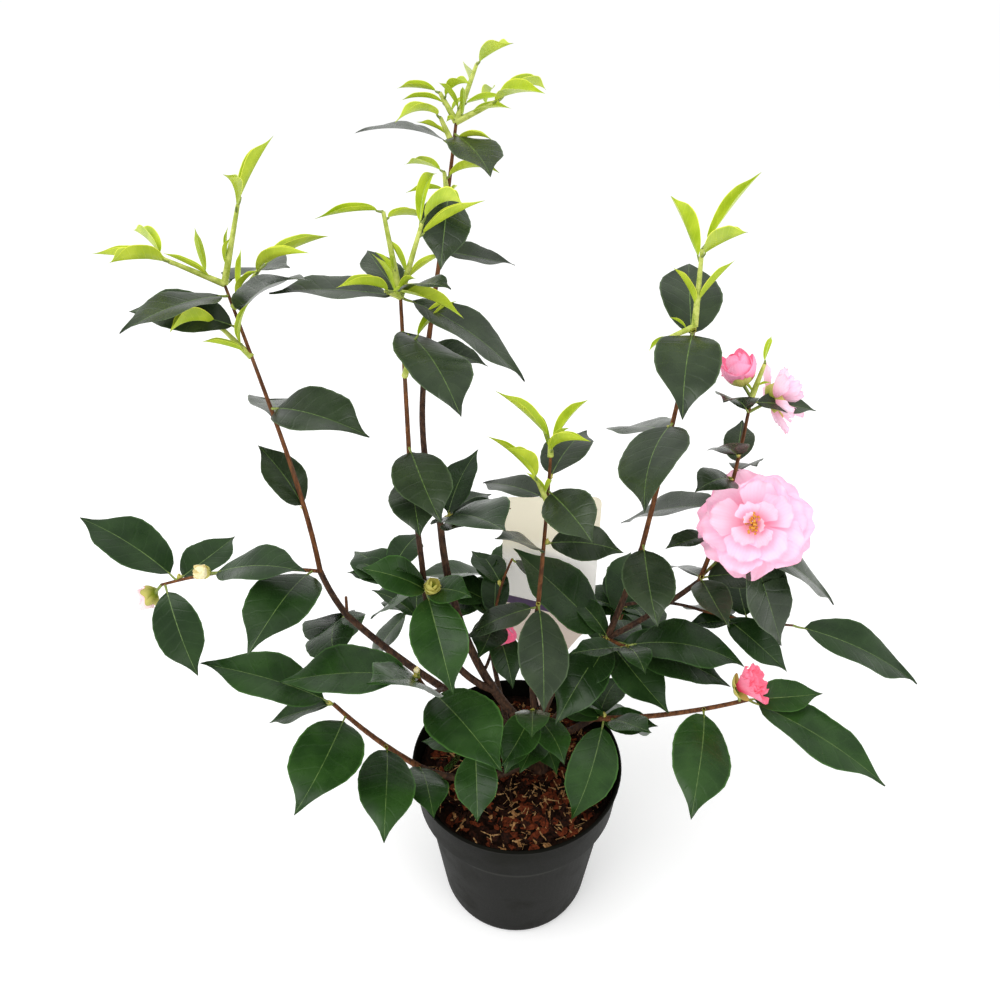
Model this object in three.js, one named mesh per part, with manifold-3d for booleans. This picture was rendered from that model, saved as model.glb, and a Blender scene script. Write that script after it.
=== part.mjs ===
// A camellia shrub in its nursery pot, as a scene graph of named sub-parts.
//
// Units are millimetres and +Z is up. The origin is the centre of the pot's flat underside.
// +X is the shrub's right and -Y its front.
//
// The shrub is grown by one rule. A trunk and tapering boughs follow gently bending paths, each
// given by a heading, a rise, a length and how far the two turn on the way. Each mass of foliage
// grows from one stem that carries on where its bough ends, and leaves stand round the stem in
// seeded clusters, a fixed angle apart, as they do round a camellia's twig.

import * as THREE from "three";
import { mergeVertices } from "three/addons/utils/BufferGeometryUtils.js";
import Module from "manifold-3d";

const wasm = await Module();
wasm.setup();

// ---------------------------------------------------------------- driving dimensions

const GAP = 0.3; // clear space between two pieces that touch on the real shrub
const CUT_GAP = 1.2 * GAP; // how far a limb is fattened before another is cut clear of it

// Pot: a thin moulded tub with a deep collar under its rolled rim.
const RIM_RADIUS = 95;
const RIM_HEIGHT = 172;
const RIM_ROLL = 2.4;
const RIM_BAND = 4; // height of the rolled rim
const RIM_OUT = 1.2; // how far the roll stands out from the collar
const COLLAR_BOTTOM = 132;
const COLLAR_RADIUS = 91;
const BODY_TOP_RADIUS = 84.5;
const BODY_FOOT_RADIUS = 71;
const FOOT_RADIUS = 64;
const FOOT_HEIGHT = 9;
const POT_WALL = 1.8;
const POT_FLOOR = 2.5;
const POT_SIDES = 28;
const SOIL_LEVEL = 154;

// Care label: a blank card on a pointed stake, pushed in behind the trunk.
const LABEL_WIDTH = 84;
const LABEL_TOP = 399;
const LABEL_SHOULDER = 258;
const LABEL_CENTRE_X = 29;
const LABEL_FOOT_Y = 76;
const LABEL_LEAN = 2.5; // degrees, backwards
const LABEL_THICKNESS = 1.2;
const LABEL_CORNER = 7;
const STAKE_WIDTH = 20;
const STAKE_POINT = 24; // height over which the stake narrows to its point
const SHOULDER_CURVE = 30; // height over which the card narrows into the stake

// Leaves.
const SPIN = 144; // degrees from one leaf of a cluster to the next
const LEAF_GAP = 8; // along the stem, from one leaf of a cluster to the next
const YOUNG_GAP = 5;
const FORWARD = 0.35; // how far a leaf leans along its stem
const YOUNG_FORWARD = 0.8;
const PETIOLE = 0.09; // petiole length as a part of the blade's
const PETIOLE_RADIUS = 0.95;
const SWING = 60; // degrees between the two furthest swings of a leaf's heading,
const NOD = 50; // of its droop
const TWIST = 50; // and of its face
const LEAST_ARC = 5; // degrees that a midrib bends from base to tip, and
const MORE_ARC = 50; // how much more the most bent one does
const LEAST_SIZE = 0.88; // the smallest leaf of a row, as a part of the row's leaf length, and
const MORE_SIZE = 0.24; // how much more the longest one has
const WIDTH = [0.52, 0.16]; // a leaf's least width and what is added at most, as parts of its length
const YOUNG_WIDTH = [0.28, 0.12];
const FOLD = 18; // degrees that each half of a blade is raised from the midrib
const LEAF_THICKNESS = 1.7;
const BLADE_STATIONS = [0.14, 0.42, 0.78];
const SMALL_BLADE = 80; // a blade shorter than this has its two stations at
const SMALL_BLADE_STATIONS = [0.22, 0.64];
const BLADE_ROUNDNESS = 0.62; // powers of the outline's rise from the base and fall to the tip
const BLADE_TAPER = 1.15;

// Room that a leaf keeps.
const LEAF_ROOM = 4; // to a leaf of another mass
const LIMB_ROOM = 1.5; // to the bark of a limb
const POT_ROOM = 3; // to the soil and the pot's rim

// Trunk: start, heading, rise, length; diameter at its foot and fork, and the flare of the root.
const TRUNK_FOOT = [21, 6, SOIL_LEVEL + GAP];
const TRUNK_GROWTH = [-115, 84, 50, 0, 0];
const TRUNK_DIAMETERS = [16, 12];
const ROOT_FLARE = 5;
const FLARE_HEIGHT = 7;
const STEPS = 10;
const SHOOT_STEPS = 4;
const SHOOT_DIAMETERS = [2.6, 2];
const BOUGH_SIDES = 6;
const STEM_SIDES = 4;

// Boughs: name, limb that it leaves and how far along, then
// heading, rise, length, turn, lift (degrees, millimetres) and the diameters of its foot and tip.
const BOUGHS = [
  ["right_bough", "trunk", 1, 37, 88, 115, -18, -68, 9, 7],
  ["right_tall_bough", "right_bough", 1, 30, 68, 90, 3, 8, 5.6, 4.8],
  ["flower_bough", "right_bough", 1, 5, 32, 93, 5, 10, 5.2, 4.4],
  ["right_side_bough", "right_tall_bough", 0.38, 13, 6, 70, -26, -21, 3, 2.6],
  ["right_low_bough", "trunk", 0.6, -4, 36, 60, 4, 6, 7.5, 5.6],
  ["left_bough", "trunk", 0.75, 168, 24, 210, 6, 27, 8, 5.6],
  ["left_tall_bough", "left_bough", 1, 161, 55, 46, -9, 17, 5.4, 5],
  ["left_low_bough", "trunk", 0.35, 224, -5, 115, -65, 18, 7.5, 6],
  ["left_short_bough", "left_bough", 0.48, -98, 32, 30, -13, 14, 4.6, 4.4],
  ["back_bough", "trunk", 0.85, 168, 42, 226, -60, 38, 8.5, 5.8],
  ["back_tall_bough", "back_bough", 1, 141, 69, 142, -86, 3, 5.4, 4.4],
  ["centre_left_bough", "back_bough", 0.27, 198, 37, 125, -79, 44, 6.4, 5.4],
  ["centre_left_tall_bough", "centre_left_bough", 1, 112, 83, 94, 4, -7, 5, 4.2],
  ["centre_bough", "trunk", 1, 137, 74, 129, -94, 11, 6, 4.4],
  ["inner_bough", "back_bough", 0.36, 45, 45, 43, 48, 17, 3, 2.8],
  ["front_left_bough", "trunk", 0.7, 200, 22, 52, 10, 6, 4.4, 3.6],
  ["rear_right_bough", "trunk", 0.8, 50, 12, 105, 0, 6, 5.5, 4.2],
  ["rear_left_bough", "left_bough", 0.42, 105, 8, 85, 20, 6, 5, 4],
  ["rear_centre_bough", "left_bough", 0.15, 105, 22, 100, -5, 4, 5, 4],
];

// Masses of foliage. Each has
//   stem: the limb whose tip it grows from, then heading, rise, length, turn, lift and diameters
//   leaves: clusters, each [place along the stem, leaves, facing, droop, leaf length, seed]
//   twigs: straight side twigs, each [place, heading, rise, length] and the cluster at its tip
//          [leaves, facing, droop, leaf length, seed]
//   shoots: the same with young leaves
//   flowers: each [place, heading, rise, length of its stalk], kind, diameter and facing
const MASSES = {
  left_tall: {
    stem: ["left_tall_bough", 163, 88, 237, -31, -23, 4.6, 2.2],
    leaves: [
      [0.25, 1, 155, 50, 60, 9],
      [0.65, 2, 305, -45, 80, 13],
      [0.9, 2, 170, 0, 70, 66],
      [1, 2, 250, -5, 70, 46],
    ],
    shoots: [
      [1, 30, 70, 54, 2, 240, 20, 45, 37],
      [1, 195, 30, 42, 3, 150, 0, 55, 5],
      [0.93, 10, 50, 34, 2, 280, 0, 55, 42],
      [0.78, 165, 45, 29, 2, 160, -20, 55, 24],
    ],
  },
  left_side: {
    stem: ["left_tall_bough", -175, 12, 125, 8, -22, 3.4, 2.4],
    leaves: [
      [0.05, 1, 280, 10, 95, 9],
      [0.68, 1, 350, 10, 80, 12],
      [0.9, 1, 25, 10, 70, 5],
      [0.9, 1, 140, 50, 80, 7],
      [0.98, 1, 310, -60, 70, 2],
    ],
    flowers: [
      [0.62, -149, 20, 10, "bud", 12.6, -150, 30],
      [1, 177, -49, 12, "bud", 12, 180, -30],
    ],
  },
  left_fork: {
    stem: ["left_bough", 100, 20, 18, 0, 0, 3, 2.4],
    leaves: [[0.18, 2, 45, -75, 95, 24]],
  },
  left_short: {
    stem: ["left_short_bough", -115, 50, 44, 3, 22, 4, 3],
    leaves: [
      [0, 1, 305, 5, 95, 7],
      [1, 1, 170, -5, 95, 7],
      [0.3, 1, 265, 45, 95, 3],
    ],
    flowers: [[1, 180, 84, 5, "bud", 5, 150, 70]],
  },
  left_low: {
    stem: ["left_low_bough", 182, 44, 105, -9, 10, 5.4, 3.6],
    leaves: [
      [0, 1, 325, -5, 70, 8],
      [0.38, 1, 315, -20, 90, 8],
      [0.85, 1, 295, -10, 95, 3],
      [1, 1, 180, 10, 95, 12],
      [1, 1, 160, -30, 60, 5],
    ],
  },
  front_left: {
    stem: ["front_left_bough", 212, 25, 25, 0, 0, 3.4, 2.6],
    leaves: [[1, 3, 150, -45, 50, 41]],
  },
  front: {
    stem: ["trunk", -120, 72, 42, 0, 0, 4, 2.8],
    leaves: [
      [0, 2, 240, -50, 50, 17],
      [1, 2, 125, -10, 50, 63],
      [1, 1, 270, -5, 60, 4],
      [1, 1, 240, -50, 50, 25],
      [0.2, 1, 290, 0, 50, 20],
    ],
  },
  centre_left_low: {
    stem: ["centre_left_bough", -70, 30, 14, 0, 0, 3, 2.6],
    leaves: [
      [1, 3, 135, -45, 80, 49],
      [0.95, 3, 215, 35, 50, 17],
    ],
    flowers: [[1, 0, 61, 4, "bud", 13, -60, 60]],
  },
  centre_left: {
    stem: ["centre_left_tall_bough", 94, 77, 142, -2, 1, 4, 2.6],
    leaves: [
      [0.22, 1, 290, -33, 72, 25],
      [0.1, 2, 280, -45, 60, 41],
      [0.58, 1, 50, -30, 90, 5],
      [0.83, 1, 320, -40, 95, 8],
      [1, 1, 199, -14, 80, 25],
      [1, 1, 120, 10, 60, 20],
      [1, 1, 340, -50, 90, 12],
      [1, 1, 310, -20, 60, 4],
    ],
    shoots: [
      [1, 145, 80, 58, 2, 60, -40, 45, 11],
      [1, 15, 70, 53, 3, 330, -10, 55, 34],
      [1, 210, 30, 13, 2, 260, -10, 55, 17],
      [0.6, 310, 65, 36, 1, 70, -20, 45, 7],
    ],
  },
  back_middle: {
    stem: ["back_bough", -60, 40, 18, 0, 0, 3, 2.4],
    leaves: [
      [1, 1, 290, 35, 95, 7],
      [1, 2, 280, 10, 60, 58],
    ],
  },
  back_tall: {
    stem: ["back_tall_bough", 58, 72, 164, 15, -7, 4.2, 2.4],
    leaves: [
      [0.03, 1, 320, -30, 50, 5],
      [0.45, 1, 340, -25, 60, 5],
      [0.7, 1, 290, -50, 70, 8],
      [0.95, 2, 150, -10, 70, 42],
    ],
    shoots: [
      [1, 25, 65, 40, 2, 150, -40, 55, 35],
      [1, 180, 60, 22, 3, 200, -40, 35, 62],
      [1, 355, 25, 34, 3, 160, -10, 55, 16],
      [0.9, 190, 65, 21, 1, 290, -50, 55, 8],
      [0.68, 180, 85, 18, 2, 350, -60, 45, 43],
    ],
  },
  centre: {
    stem: ["centre_bough", 66, 80, 138, 4, 5, 4, 2.4],
    leaves: [
      [0.05, 1, 295, -60, 80, 8],
      [0, 2, 85, -40, 60, 18],
      [0.45, 2, 225, 0, 60, 17],
      [0.85, 3, 140, -35, 60, 12],
    ],
    shoots: [
      [1, 100, 75, 13, 3, 270, -10, 55, 42],
      [0.72, 220, 65, 27, 2, 100, 10, 55, 50],
    ],
  },
  inner: {
    stem: ["inner_bough", 45, 88, 66, 0, -35, 2.6, 2],
    leaves: [
      [0.75, 2, 140, 5, 50, 11],
      [1, 1, 350, -60, 50, 20],
      [0.05, 1, 290, -60, 50, 12],
    ],
    flowers: [[0.04, -50, -50, 7, "bud", 13, -60, 20]],
  },
  right_fork: {
    stem: ["right_bough", -60, 25, 32, 0, 0, 3.6, 2.6],
    leaves: [
      [0, 1, 150, 20, 95, 1],
      [0, 1, 285, -25, 80, 5],
      [0.02, 1, 240, -40, 80, 8],
      [0.78, 1, 10, 5, 95, 9],
      [0.53, 2, 340, -15, 90, 18],
    ],
  },
  right_tall: {
    stem: ["right_tall_bough", 44, 78, 184, 4, 3, 4.4, 2.8],
    leaves: [
      [0.03, 1, 268, -35, 70, 25],
      [0.6, 2, 130, -45, 90, 64],
      [0.98, 2, 85, -20, 80, 65],
    ],
    shoots: [
      [1, 90, 80, 53, 3, 110, -20, 65, 1],
      [1, 200, -15, 21, 1, 260, 20, 25, 11],
    ],
  },
  flower: {
    stem: ["flower_bough", 27, 74, 164, 27, 16, 4, 2.4],
    leaves: [
      [0, 3, 320, -35, 60, 13],
      [0.28, 1, 180, -10, 50, 5],
      [0.43, 1, 140, -35, 90, 7],
      [0.62, 2, 240, -20, 50, 19],
      [0.7, 2, 100, 5, 50, 16],
      [0.98, 2, 205, -15, 50, 13],
    ],
    twigs: [
      [0.02, -14, 62, 58, 1, 292, -77, 92, 25],
      [0.02, -14, 62, 50, 1, 358, -58, 90, 12],
    ],
    shoots: [[1, 40, 70, 26, 1, 100, -20, 25, 8]],
    flowers: [
      [0.02, -14, 62, 69, "bloom", 86, -110, 34],
      [1, 177, 55, 13, "bud", 16, 160, 65],
      [0.93, 20, 20, 20, "opening", 44, 15, 15],
    ],
  },
  right_side: {
    stem: ["right_side_bough", -7, -13, 80, 8, 7, 2.4, 2],
    leaves: [
      [0.23, 2, 140, -45, 60, 56],
      [1, 1, 335, -25, 95, 12],
      [0.93, 2, 75, 5, 50, 50],
    ],
  },
  right_low: {
    stem: ["right_low_bough", -22, 23, 135, 19, 1, 5.2, 3.4],
    leaves: [
      [0.08, 2, 70, -35, 80, 59],
      [0.12, 1, 290, 30, 50, 25],
      [0.73, 1, 260, -25, 90, 8],
      [1, 1, 330, -35, 95, 6],
      [1, 1, 335, 10, 60, 5],
    ],
    flowers: [[0.95, -159, 71, 18, "opening", 36, -12, 42]],
  },
  rear_right: {
    stem: ["rear_right_bough", 62, 14, 60, 0, 8, 4, 2.6],
    leaves: [
      [0.3, 2, 255, -20, 70, 41],
      [0.65, 2, 315, -10, 75, 25],
      [1, 3, 160, -10, 70, 27],
      [1, 1, 90, 10, 60, 7],
    ],
  },
  rear_left: {
    stem: ["rear_left_bough", 125, 14, 60, 0, 8, 3.8, 2.6],
    leaves: [
      [0.3, 2, 120, -20, 65, 44],
      [0.65, 2, 80, -10, 60, 37],
      [1, 3, 150, -20, 70, 19],
    ],
  },
  rear_centre: {
    stem: ["rear_centre_bough", 70, 18, 60, 0, 10, 3.8, 2.6],
    leaves: [
      [0.35, 2, 20, -20, 70, 58],
      [0.7, 2, 60, -10, 70, 23],
      [1, 3, 60, -10, 80, 12],
    ],
  },
};

// Flowers: rings of petals, each [petals, degrees from the axis, length as a part of the radius].
const PETAL_RINGS = {
  bloom: [
    [8, 82, 1],
    [7, 60, 0.84],
    [6, 36, 0.6],
  ],
  opening: [
    [5, 36, 1.1],
    [4, 14, 1.2],
  ],
};
const PETAL_CUP = 26; // degrees that a petal turns towards the flower's axis on its way out
const PETAL_THICKNESS = 1.6;
const PETAL_FACETS = 2; // round the edge of one petal
const PETAL_NOTCH = 0.16; // depth of the notch between two petals, as a part of their length
const PETAL_RING_GAP = 3; // from one ring of petals to the next, along the flower's axis
const HEART = 0.24; // diameter of an open flower's heart, as a part of the flower's
const BUD_LENGTH = 1.3; // as a part of a bud's diameter
const BUD_SIDES = 7;
const BUD_OUTLINE = [
  [0, 0],
  [0.3, 0.08],
  [0.49, 0.34],
  [0.45, 0.62],
  [0.24, 0.88],
  [0, 1],
];
const STALK_RADIUS = 1.4;

// ---------------------------------------------------------------- finishes

const finish = (color, roughness) =>
  new THREE.MeshStandardMaterial({ color, roughness, metalness: 0 });
const POT_PLASTIC = finish(0x3c3d39, 0.62);
const SOIL = finish(0x4a2e20, 0.95);
const CARD = finish(0xe9e4d6, 0.5);
const BARK = finish(0x6b4630, 0.8);
const FOLIAGE = finish(0x39542f, 0.35);

// ---------------------------------------------------------------- the rule of growth

const radians = THREE.MathUtils.degToRad;

// The unit vector at a heading about +Z from +X and a rise above the level, both in degrees.
function direction(heading, rise) {
  const level = Math.cos(radians(rise));
  return new THREE.Vector3(
    level * Math.cos(radians(heading)),
    level * Math.sin(radians(heading)),
    Math.sin(radians(rise)),
  );
}

// A path of equal steps whose heading and rise change evenly from its start to its end.
function grow(start, [heading, rise, length, turn, lift], steps) {
  const path = [start.clone()];
  for (let i = 0; i < steps; i++) {
    const f = (i + 0.5) / steps;
    const step = direction(heading + turn * f, rise + lift * f);
    path.push(path[i].clone().addScaledVector(step, length / steps));
  }
  return path;
}

// The point at part t of a path.
function along(path, t) {
  const place = THREE.MathUtils.clamp(t, 0, 1) * (path.length - 1);
  const i = Math.min(Math.floor(place), path.length - 2);
  return path[i].clone().lerp(path[i + 1], place - i);
}

const pathLength = (path) => path[0].distanceTo(path[1]) * (path.length - 1);

// Even random numbers from 0 to 1, the same for the same seed on any machine.
function dice(seed) {
  const modulus = 2147483647;
  let state = (seed * 48271) % modulus;
  return () => {
    state = (state * 16807) % modulus;
    return state / modulus;
  };
}

// The leaves of one cluster: where each blade starts, its direction, its face and its size.
function cluster(stem, [at, count, facing, droop, size, seed], young) {
  const roll = dice(seed);
  const gap = (young ? YOUNG_GAP : LEAF_GAP) / pathLength(stem);
  const leaves = [];
  for (let k = 0; k < count; k++) {
    const [swing, tip, grown, broad, bend, twist] = Array.from({ length: 6 }, roll);
    const t = Math.max(at - (count - 1 - k) * gap, 0.02);
    const node = along(stem, t);
    const axis = along(stem, t + 0.05).sub(along(stem, t - 0.05)).normalize();
    const azimuth = facing + SPIN * k + SWING * (swing - 0.5);
    const pitch = droop + NOD * (tip - 0.5);
    const lean = young ? YOUNG_FORWARD : FORWARD;
    const forward = direction(azimuth, pitch).addScaledVector(axis, lean).normalize();
    const heading = THREE.MathUtils.radToDeg(Math.atan2(forward.y, forward.x));
    const rise = THREE.MathUtils.radToDeg(Math.asin(forward.z));
    const level = direction(heading, rise + 90);
    const side = forward.clone().cross(level);
    const turn = radians(TWIST * (twist - 0.5));
    const up = level.clone().multiplyScalar(Math.cos(turn)).addScaledVector(side, Math.sin(turn));
    const length = size * (LEAST_SIZE + MORE_SIZE * grown);
    const arc = radians(LEAST_ARC + MORE_ARC * bend);
    const stalk = forward.clone().multiplyScalar(Math.cos(arc / 2));
    stalk.addScaledVector(up, Math.sin(arc / 2)).normalize();
    const base = node.clone().addScaledVector(stalk, PETIOLE * length);
    const [least, more] = young ? YOUNG_WIDTH : WIDTH;
    const width = (least + more * broad) * length;
    leaves.push({ node, base, stalk, forward, up, length, width, arc });
  }
  return leaves;
}

// A blade's outline, before it is scaled to its width, and where along the blade it is widest.
const outline = (t) => t ** BLADE_ROUNDNESS * (1 - t) ** BLADE_TAPER;
const WIDEST = BLADE_ROUNDNESS / (BLADE_ROUNDNESS + BLADE_TAPER);

// The point of a blade at part t of its length and part across (-1 to 1) of its width.
// The midrib is an arc of a circle, and both halves fold up from it.
function bladePoint(leaf, t, across) {
  const { base, forward, up, length, width, arc } = leaf;
  const half = arc / 2;
  const lean = half - arc * t;
  const reach = (length / arc) * (Math.sin(half) - Math.sin(lean));
  const height = (length / arc) * (Math.cos(lean) - Math.cos(half));
  const normal = up.clone().multiplyScalar(Math.cos(lean)).addScaledVector(forward, -Math.sin(lean));
  const side = forward.clone().cross(up);
  const reachOut = (across * (width / 2) * outline(t)) / outline(WIDEST);
  return base
    .clone()
    .addScaledVector(forward, reach)
    .addScaledVector(up, height)
    .addScaledVector(side, reachOut * Math.cos(radians(FOLD)))
    .addScaledVector(normal, Math.abs(reachOut) * Math.sin(radians(FOLD)));
}

// Points spread over a blade, which stand for it where room is measured.
function bladeSamples(leaf) {
  const samples = [];
  for (let t = 0.2; t < 1.01; t += 0.1)
    for (const across of [-1, -0.5, 0, 0.5, 1])
      samples.push(bladePoint(leaf, Math.min(t, 1), across));
  return samples;
}

// ---------------------------------------------------------------- solids

// A closed three.js geometry as a solid that can be joined and cut, with its faces turned out.
function solidOf(geometry) {
  geometry.deleteAttribute("normal");
  geometry.deleteAttribute("uv");
  const merged = mergeVertices(geometry, 1e-4);
  const vertProperties = new Float32Array(merged.attributes.position.array);
  const triVerts = new Uint32Array(merged.index.array);
  const solid = new wasm.Manifold(new wasm.Mesh({ numProp: 3, vertProperties, triVerts }));
  if (solid.volume() > 0) return solid;
  for (let i = 0; i < triVerts.length; i += 3)
    [triVerts[i + 1], triVerts[i + 2]] = [triVerts[i + 2], triVerts[i + 1]];
  return new wasm.Manifold(new wasm.Mesh({ numProp: 3, vertProperties, triVerts }));
}

// The biggest of the separate bodies that a cut leaves.
function biggest(solid) {
  const bodies = solid.decompose();
  return bodies.reduce((most, body) => (body.volume() > most.volume() ? body : most));
}

// Two directions square to each step of a path, carried along it without twisting.
const ALONG_STEP = 0.95; // a direction closer to the step than this is changed for another

function squares(path, levelFoot) {
  const frames = [];
  let across = new THREE.Vector3(1, 0, 0);
  path.forEach((point, i) => {
    const before = path[Math.max(i - 1, 0)];
    const after = path[Math.min(i + 1, path.length - 1)];
    const ahead = after.clone().sub(before).normalize();
    if (levelFoot && i === 0) ahead.set(0, 0, 1);
    if (Math.abs(ahead.dot(across)) > ALONG_STEP) across = new THREE.Vector3(0, 1, 0);
    across = across.clone().addScaledVector(ahead, -ahead.dot(across)).normalize();
    frames.push([across, ahead.clone().cross(across)]);
  });
  return frames;
}

// A limb: a tapering cylinder whose rings are laid along a path.
function limbSolid(path, radiusAt, sides, { levelFoot = false, extra = 0 } = {}) {
  const steps = path.length - 1;
  const frames = squares(path, levelFoot);
  const geometry = new THREE.CylinderGeometry(1, 1, steps, sides, steps);
  const corner = geometry.getAttribute("position");
  for (let i = 0; i < corner.count; i++) {
    const ring = Math.round(corner.getY(i) + steps / 2);
    const [across, square] = frames[ring];
    const point = path[ring].clone();
    const radius = radiusAt(ring / steps) + extra;
    point.addScaledVector(square, corner.getX(i) * radius);
    point.addScaledVector(across, corner.getZ(i) * radius);
    if (extra && (ring === 0 || ring === steps))
      point.addScaledVector(square.clone().cross(across), ring ? -extra : extra);
    corner.setXYZ(i, point.x, point.y, point.z);
  }
  return solidOf(geometry);
}

// A bough's solid needs only every second point of its path.
const everySecond = (path) => path.filter((_, i) => i % 2 === 0);

const taper = (foot, tip) => (t) => foot / 2 + ((tip - foot) / 2) * t;

// A leaf: rings of four corners from the middle of the stem, along the petiole and over the
// blade to its tip point.
function leafSolid(leaf) {
  const side = leaf.forward.clone().cross(leaf.up);
  const ring = (right, left, top) => {
    const mid = right.clone().lerp(left, 0.5);
    return [right, mid.clone().add(top), left, mid.clone().sub(top)];
  };
  const thick = leaf.up.clone().multiplyScalar(PETIOLE_RADIUS);
  const wide = side.clone().multiplyScalar(PETIOLE_RADIUS);
  const rings = [leaf.node, leaf.base].map((at) =>
    ring(at.clone().add(wide), at.clone().sub(wide), thick),
  );
  const half = leaf.up.clone().multiplyScalar(LEAF_THICKNESS / 2);
  for (const t of leaf.length < SMALL_BLADE ? SMALL_BLADE_STATIONS : BLADE_STATIONS) {
    const mid = bladePoint(leaf, t, 0);
    const [right, left] = [bladePoint(leaf, t, 1), bladePoint(leaf, t, -1)];
    rings.push([right, mid.clone().add(half), left, mid.clone().sub(half)]);
  }
  return ringedSolid(rings, bladePoint(leaf, 1, 0));
}

// A closed solid over rings of four corners, with a flat first ring and a pointed tip.
function ringedSolid(rings, tip) {
  const corners = [...rings.flat(), tip];
  const faces = [
    [0, 2, 1],
    [0, 3, 2],
  ];
  rings.forEach((ring, i) => {
    for (let k = 0; k < 4; k++) {
      const here = 4 * i + k;
      const next = 4 * i + ((k + 1) % 4);
      if (i === rings.length - 1) faces.push([here, next, corners.length - 1]);
      else faces.push([here, next, next + 4], [here, next + 4, here + 4]);
    }
  });
  const geometry = new THREE.BufferGeometry().setFromPoints(corners);
  geometry.setIndex(faces.flat());
  return solidOf(geometry);
}

// A turned geometry about +Y, set on a foot point with its axis along a facing.
function stand(geometry, foot, facing) {
  const aim = new THREE.Quaternion().setFromUnitVectors(new THREE.Vector3(0, 1, 0), facing);
  return solidOf(geometry.applyQuaternion(aim).translate(foot.x, foot.y, foot.z));
}

// A bud: a turned egg that stands on the end of its stalk.
function budSolid(foot, facing, diameter) {
  const profile = BUD_OUTLINE.map(
    ([across, up]) => new THREE.Vector2(across * diameter, up * diameter * BUD_LENGTH),
  );
  return stand(new THREE.LatheGeometry(profile, BUD_SIDES), foot, facing);
}

// A ring of petals that are joined at their feet: a turned cup with a notched edge.
function petalRing(foot, facing, length, [petals, tilt], quarterTurn) {
  const outside = [[0, -PETAL_THICKNESS]];
  for (const [before, part] of [[0, 0.4], [0.4, 0.8], [0.8, 1]]) {
    const [out, up] = outside[outside.length - 1];
    const lean = radians(tilt + PETAL_CUP * (0.5 - (before + part) / 2));
    const step = (part - before) * length;
    outside.push([out + step * Math.sin(lean), up + step * Math.cos(lean)]);
  }
  const inside = outside.slice(0, -1).map(([out, up]) => [Math.max(out - 0.4, 0), up + PETAL_THICKNESS]);
  const profile = [...outside, ...inside.reverse()].map(([out, up]) => new THREE.Vector2(out, up));
  const sides = petals * PETAL_FACETS;
  const cup = new THREE.LatheGeometry(profile, sides);
  const corner = cup.getAttribute("position");
  const edge = outside[outside.length - 1][0];
  for (let i = 0; i < corner.count; i++) {
    const column = Math.floor(i / profile.length);
    const out = Math.hypot(corner.getX(i), corner.getZ(i)) / edge;
    const notch = column % PETAL_FACETS === 0 ? PETAL_NOTCH * out : 0;
    corner.setXYZ(i, corner.getX(i) * (1 - notch), corner.getY(i), corner.getZ(i) * (1 - notch));
  }
  cup.rotateY((quarterTurn * Math.PI) / petals);
  return stand(cup, foot, facing);
}

// An open or opening flower: rings of petals round a small heart.
function flowerSolid(foot, facing, diameter, kind) {
  const heart = budSolid(foot, facing, diameter * HEART);
  return PETAL_RINGS[kind].reduce((flower, ring, i) => {
    const base = foot.clone().addScaledVector(facing, PETAL_RING_GAP * i);
    return flower.add(petalRing(base, facing, (diameter / 2) * ring[2], ring, i));
  }, heart);
}

// ---------------------------------------------------------------- room in the crown

const fromSegment = (point, a, b) =>
  new THREE.Line3(a, b).closestPointToPoint(point, true, new THREE.Vector3()).distanceTo(point);

function touchesLimb(point, limb) {
  if (!limb.room.containsPoint(point)) return false;
  return limb.path.some(
    (from, i) => i && fromSegment(point, limb.path[i - 1], from) < limb.radius + LIMB_ROOM,
  );
}

// Whether a point of a leaf would reach the soil, the pot's rim or the ground.
function touchesPot(point) {
  const out = Math.hypot(point.x, point.y);
  const overPot = out < RIM_RADIUS + POT_ROOM;
  const inside = out < COLLAR_RADIUS - POT_ROOM;
  return point.z < (inside ? SOIL_LEVEL : overPot ? RIM_HEIGHT : 0) + POT_ROOM;
}

// ---------------------------------------------------------------- sub-parts

const sub_parts = new Map(); // name to { solid, material }
const limbs = new Map(); // name to { path, solid }

function turned(profile) {
  const geometry = new THREE.LatheGeometry(
    profile.map(([radius, height]) => new THREE.Vector2(radius, height)),
    POT_SIDES,
  );
  geometry.rotateX(Math.PI / 2);
  return solidOf(geometry);
}

// The pot's outside goes up to the rolled rim, and its inside comes down again.
function makePot() {
  const innerRim = RIM_RADIUS - RIM_ROLL;
  const profile = [
    [0, 0],
    [FOOT_RADIUS, 0],
    [BODY_FOOT_RADIUS - 1.5, FOOT_HEIGHT * 0.45],
    [BODY_FOOT_RADIUS, FOOT_HEIGHT],
    [BODY_TOP_RADIUS, COLLAR_BOTTOM - 2],
    [COLLAR_RADIUS, COLLAR_BOTTOM],
    [RIM_RADIUS - RIM_OUT, RIM_HEIGHT - RIM_BAND],
    [RIM_RADIUS, RIM_HEIGHT - 2.5],
    [RIM_RADIUS - 0.4, RIM_HEIGHT - 0.6],
    [RIM_RADIUS - 1.4, RIM_HEIGHT],
    [innerRim, RIM_HEIGHT - 0.8],
    [RIM_RADIUS - RIM_OUT - POT_WALL, RIM_HEIGHT - RIM_BAND],
    [COLLAR_RADIUS - POT_WALL, COLLAR_BOTTOM + 1],
    [BODY_TOP_RADIUS - POT_WALL, COLLAR_BOTTOM - 1],
    [BODY_FOOT_RADIUS - POT_WALL, FOOT_HEIGHT],
    [FOOT_RADIUS - POT_WALL, POT_FLOOR],
    [0, POT_FLOOR],
  ];
  return turned(profile);
}

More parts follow.
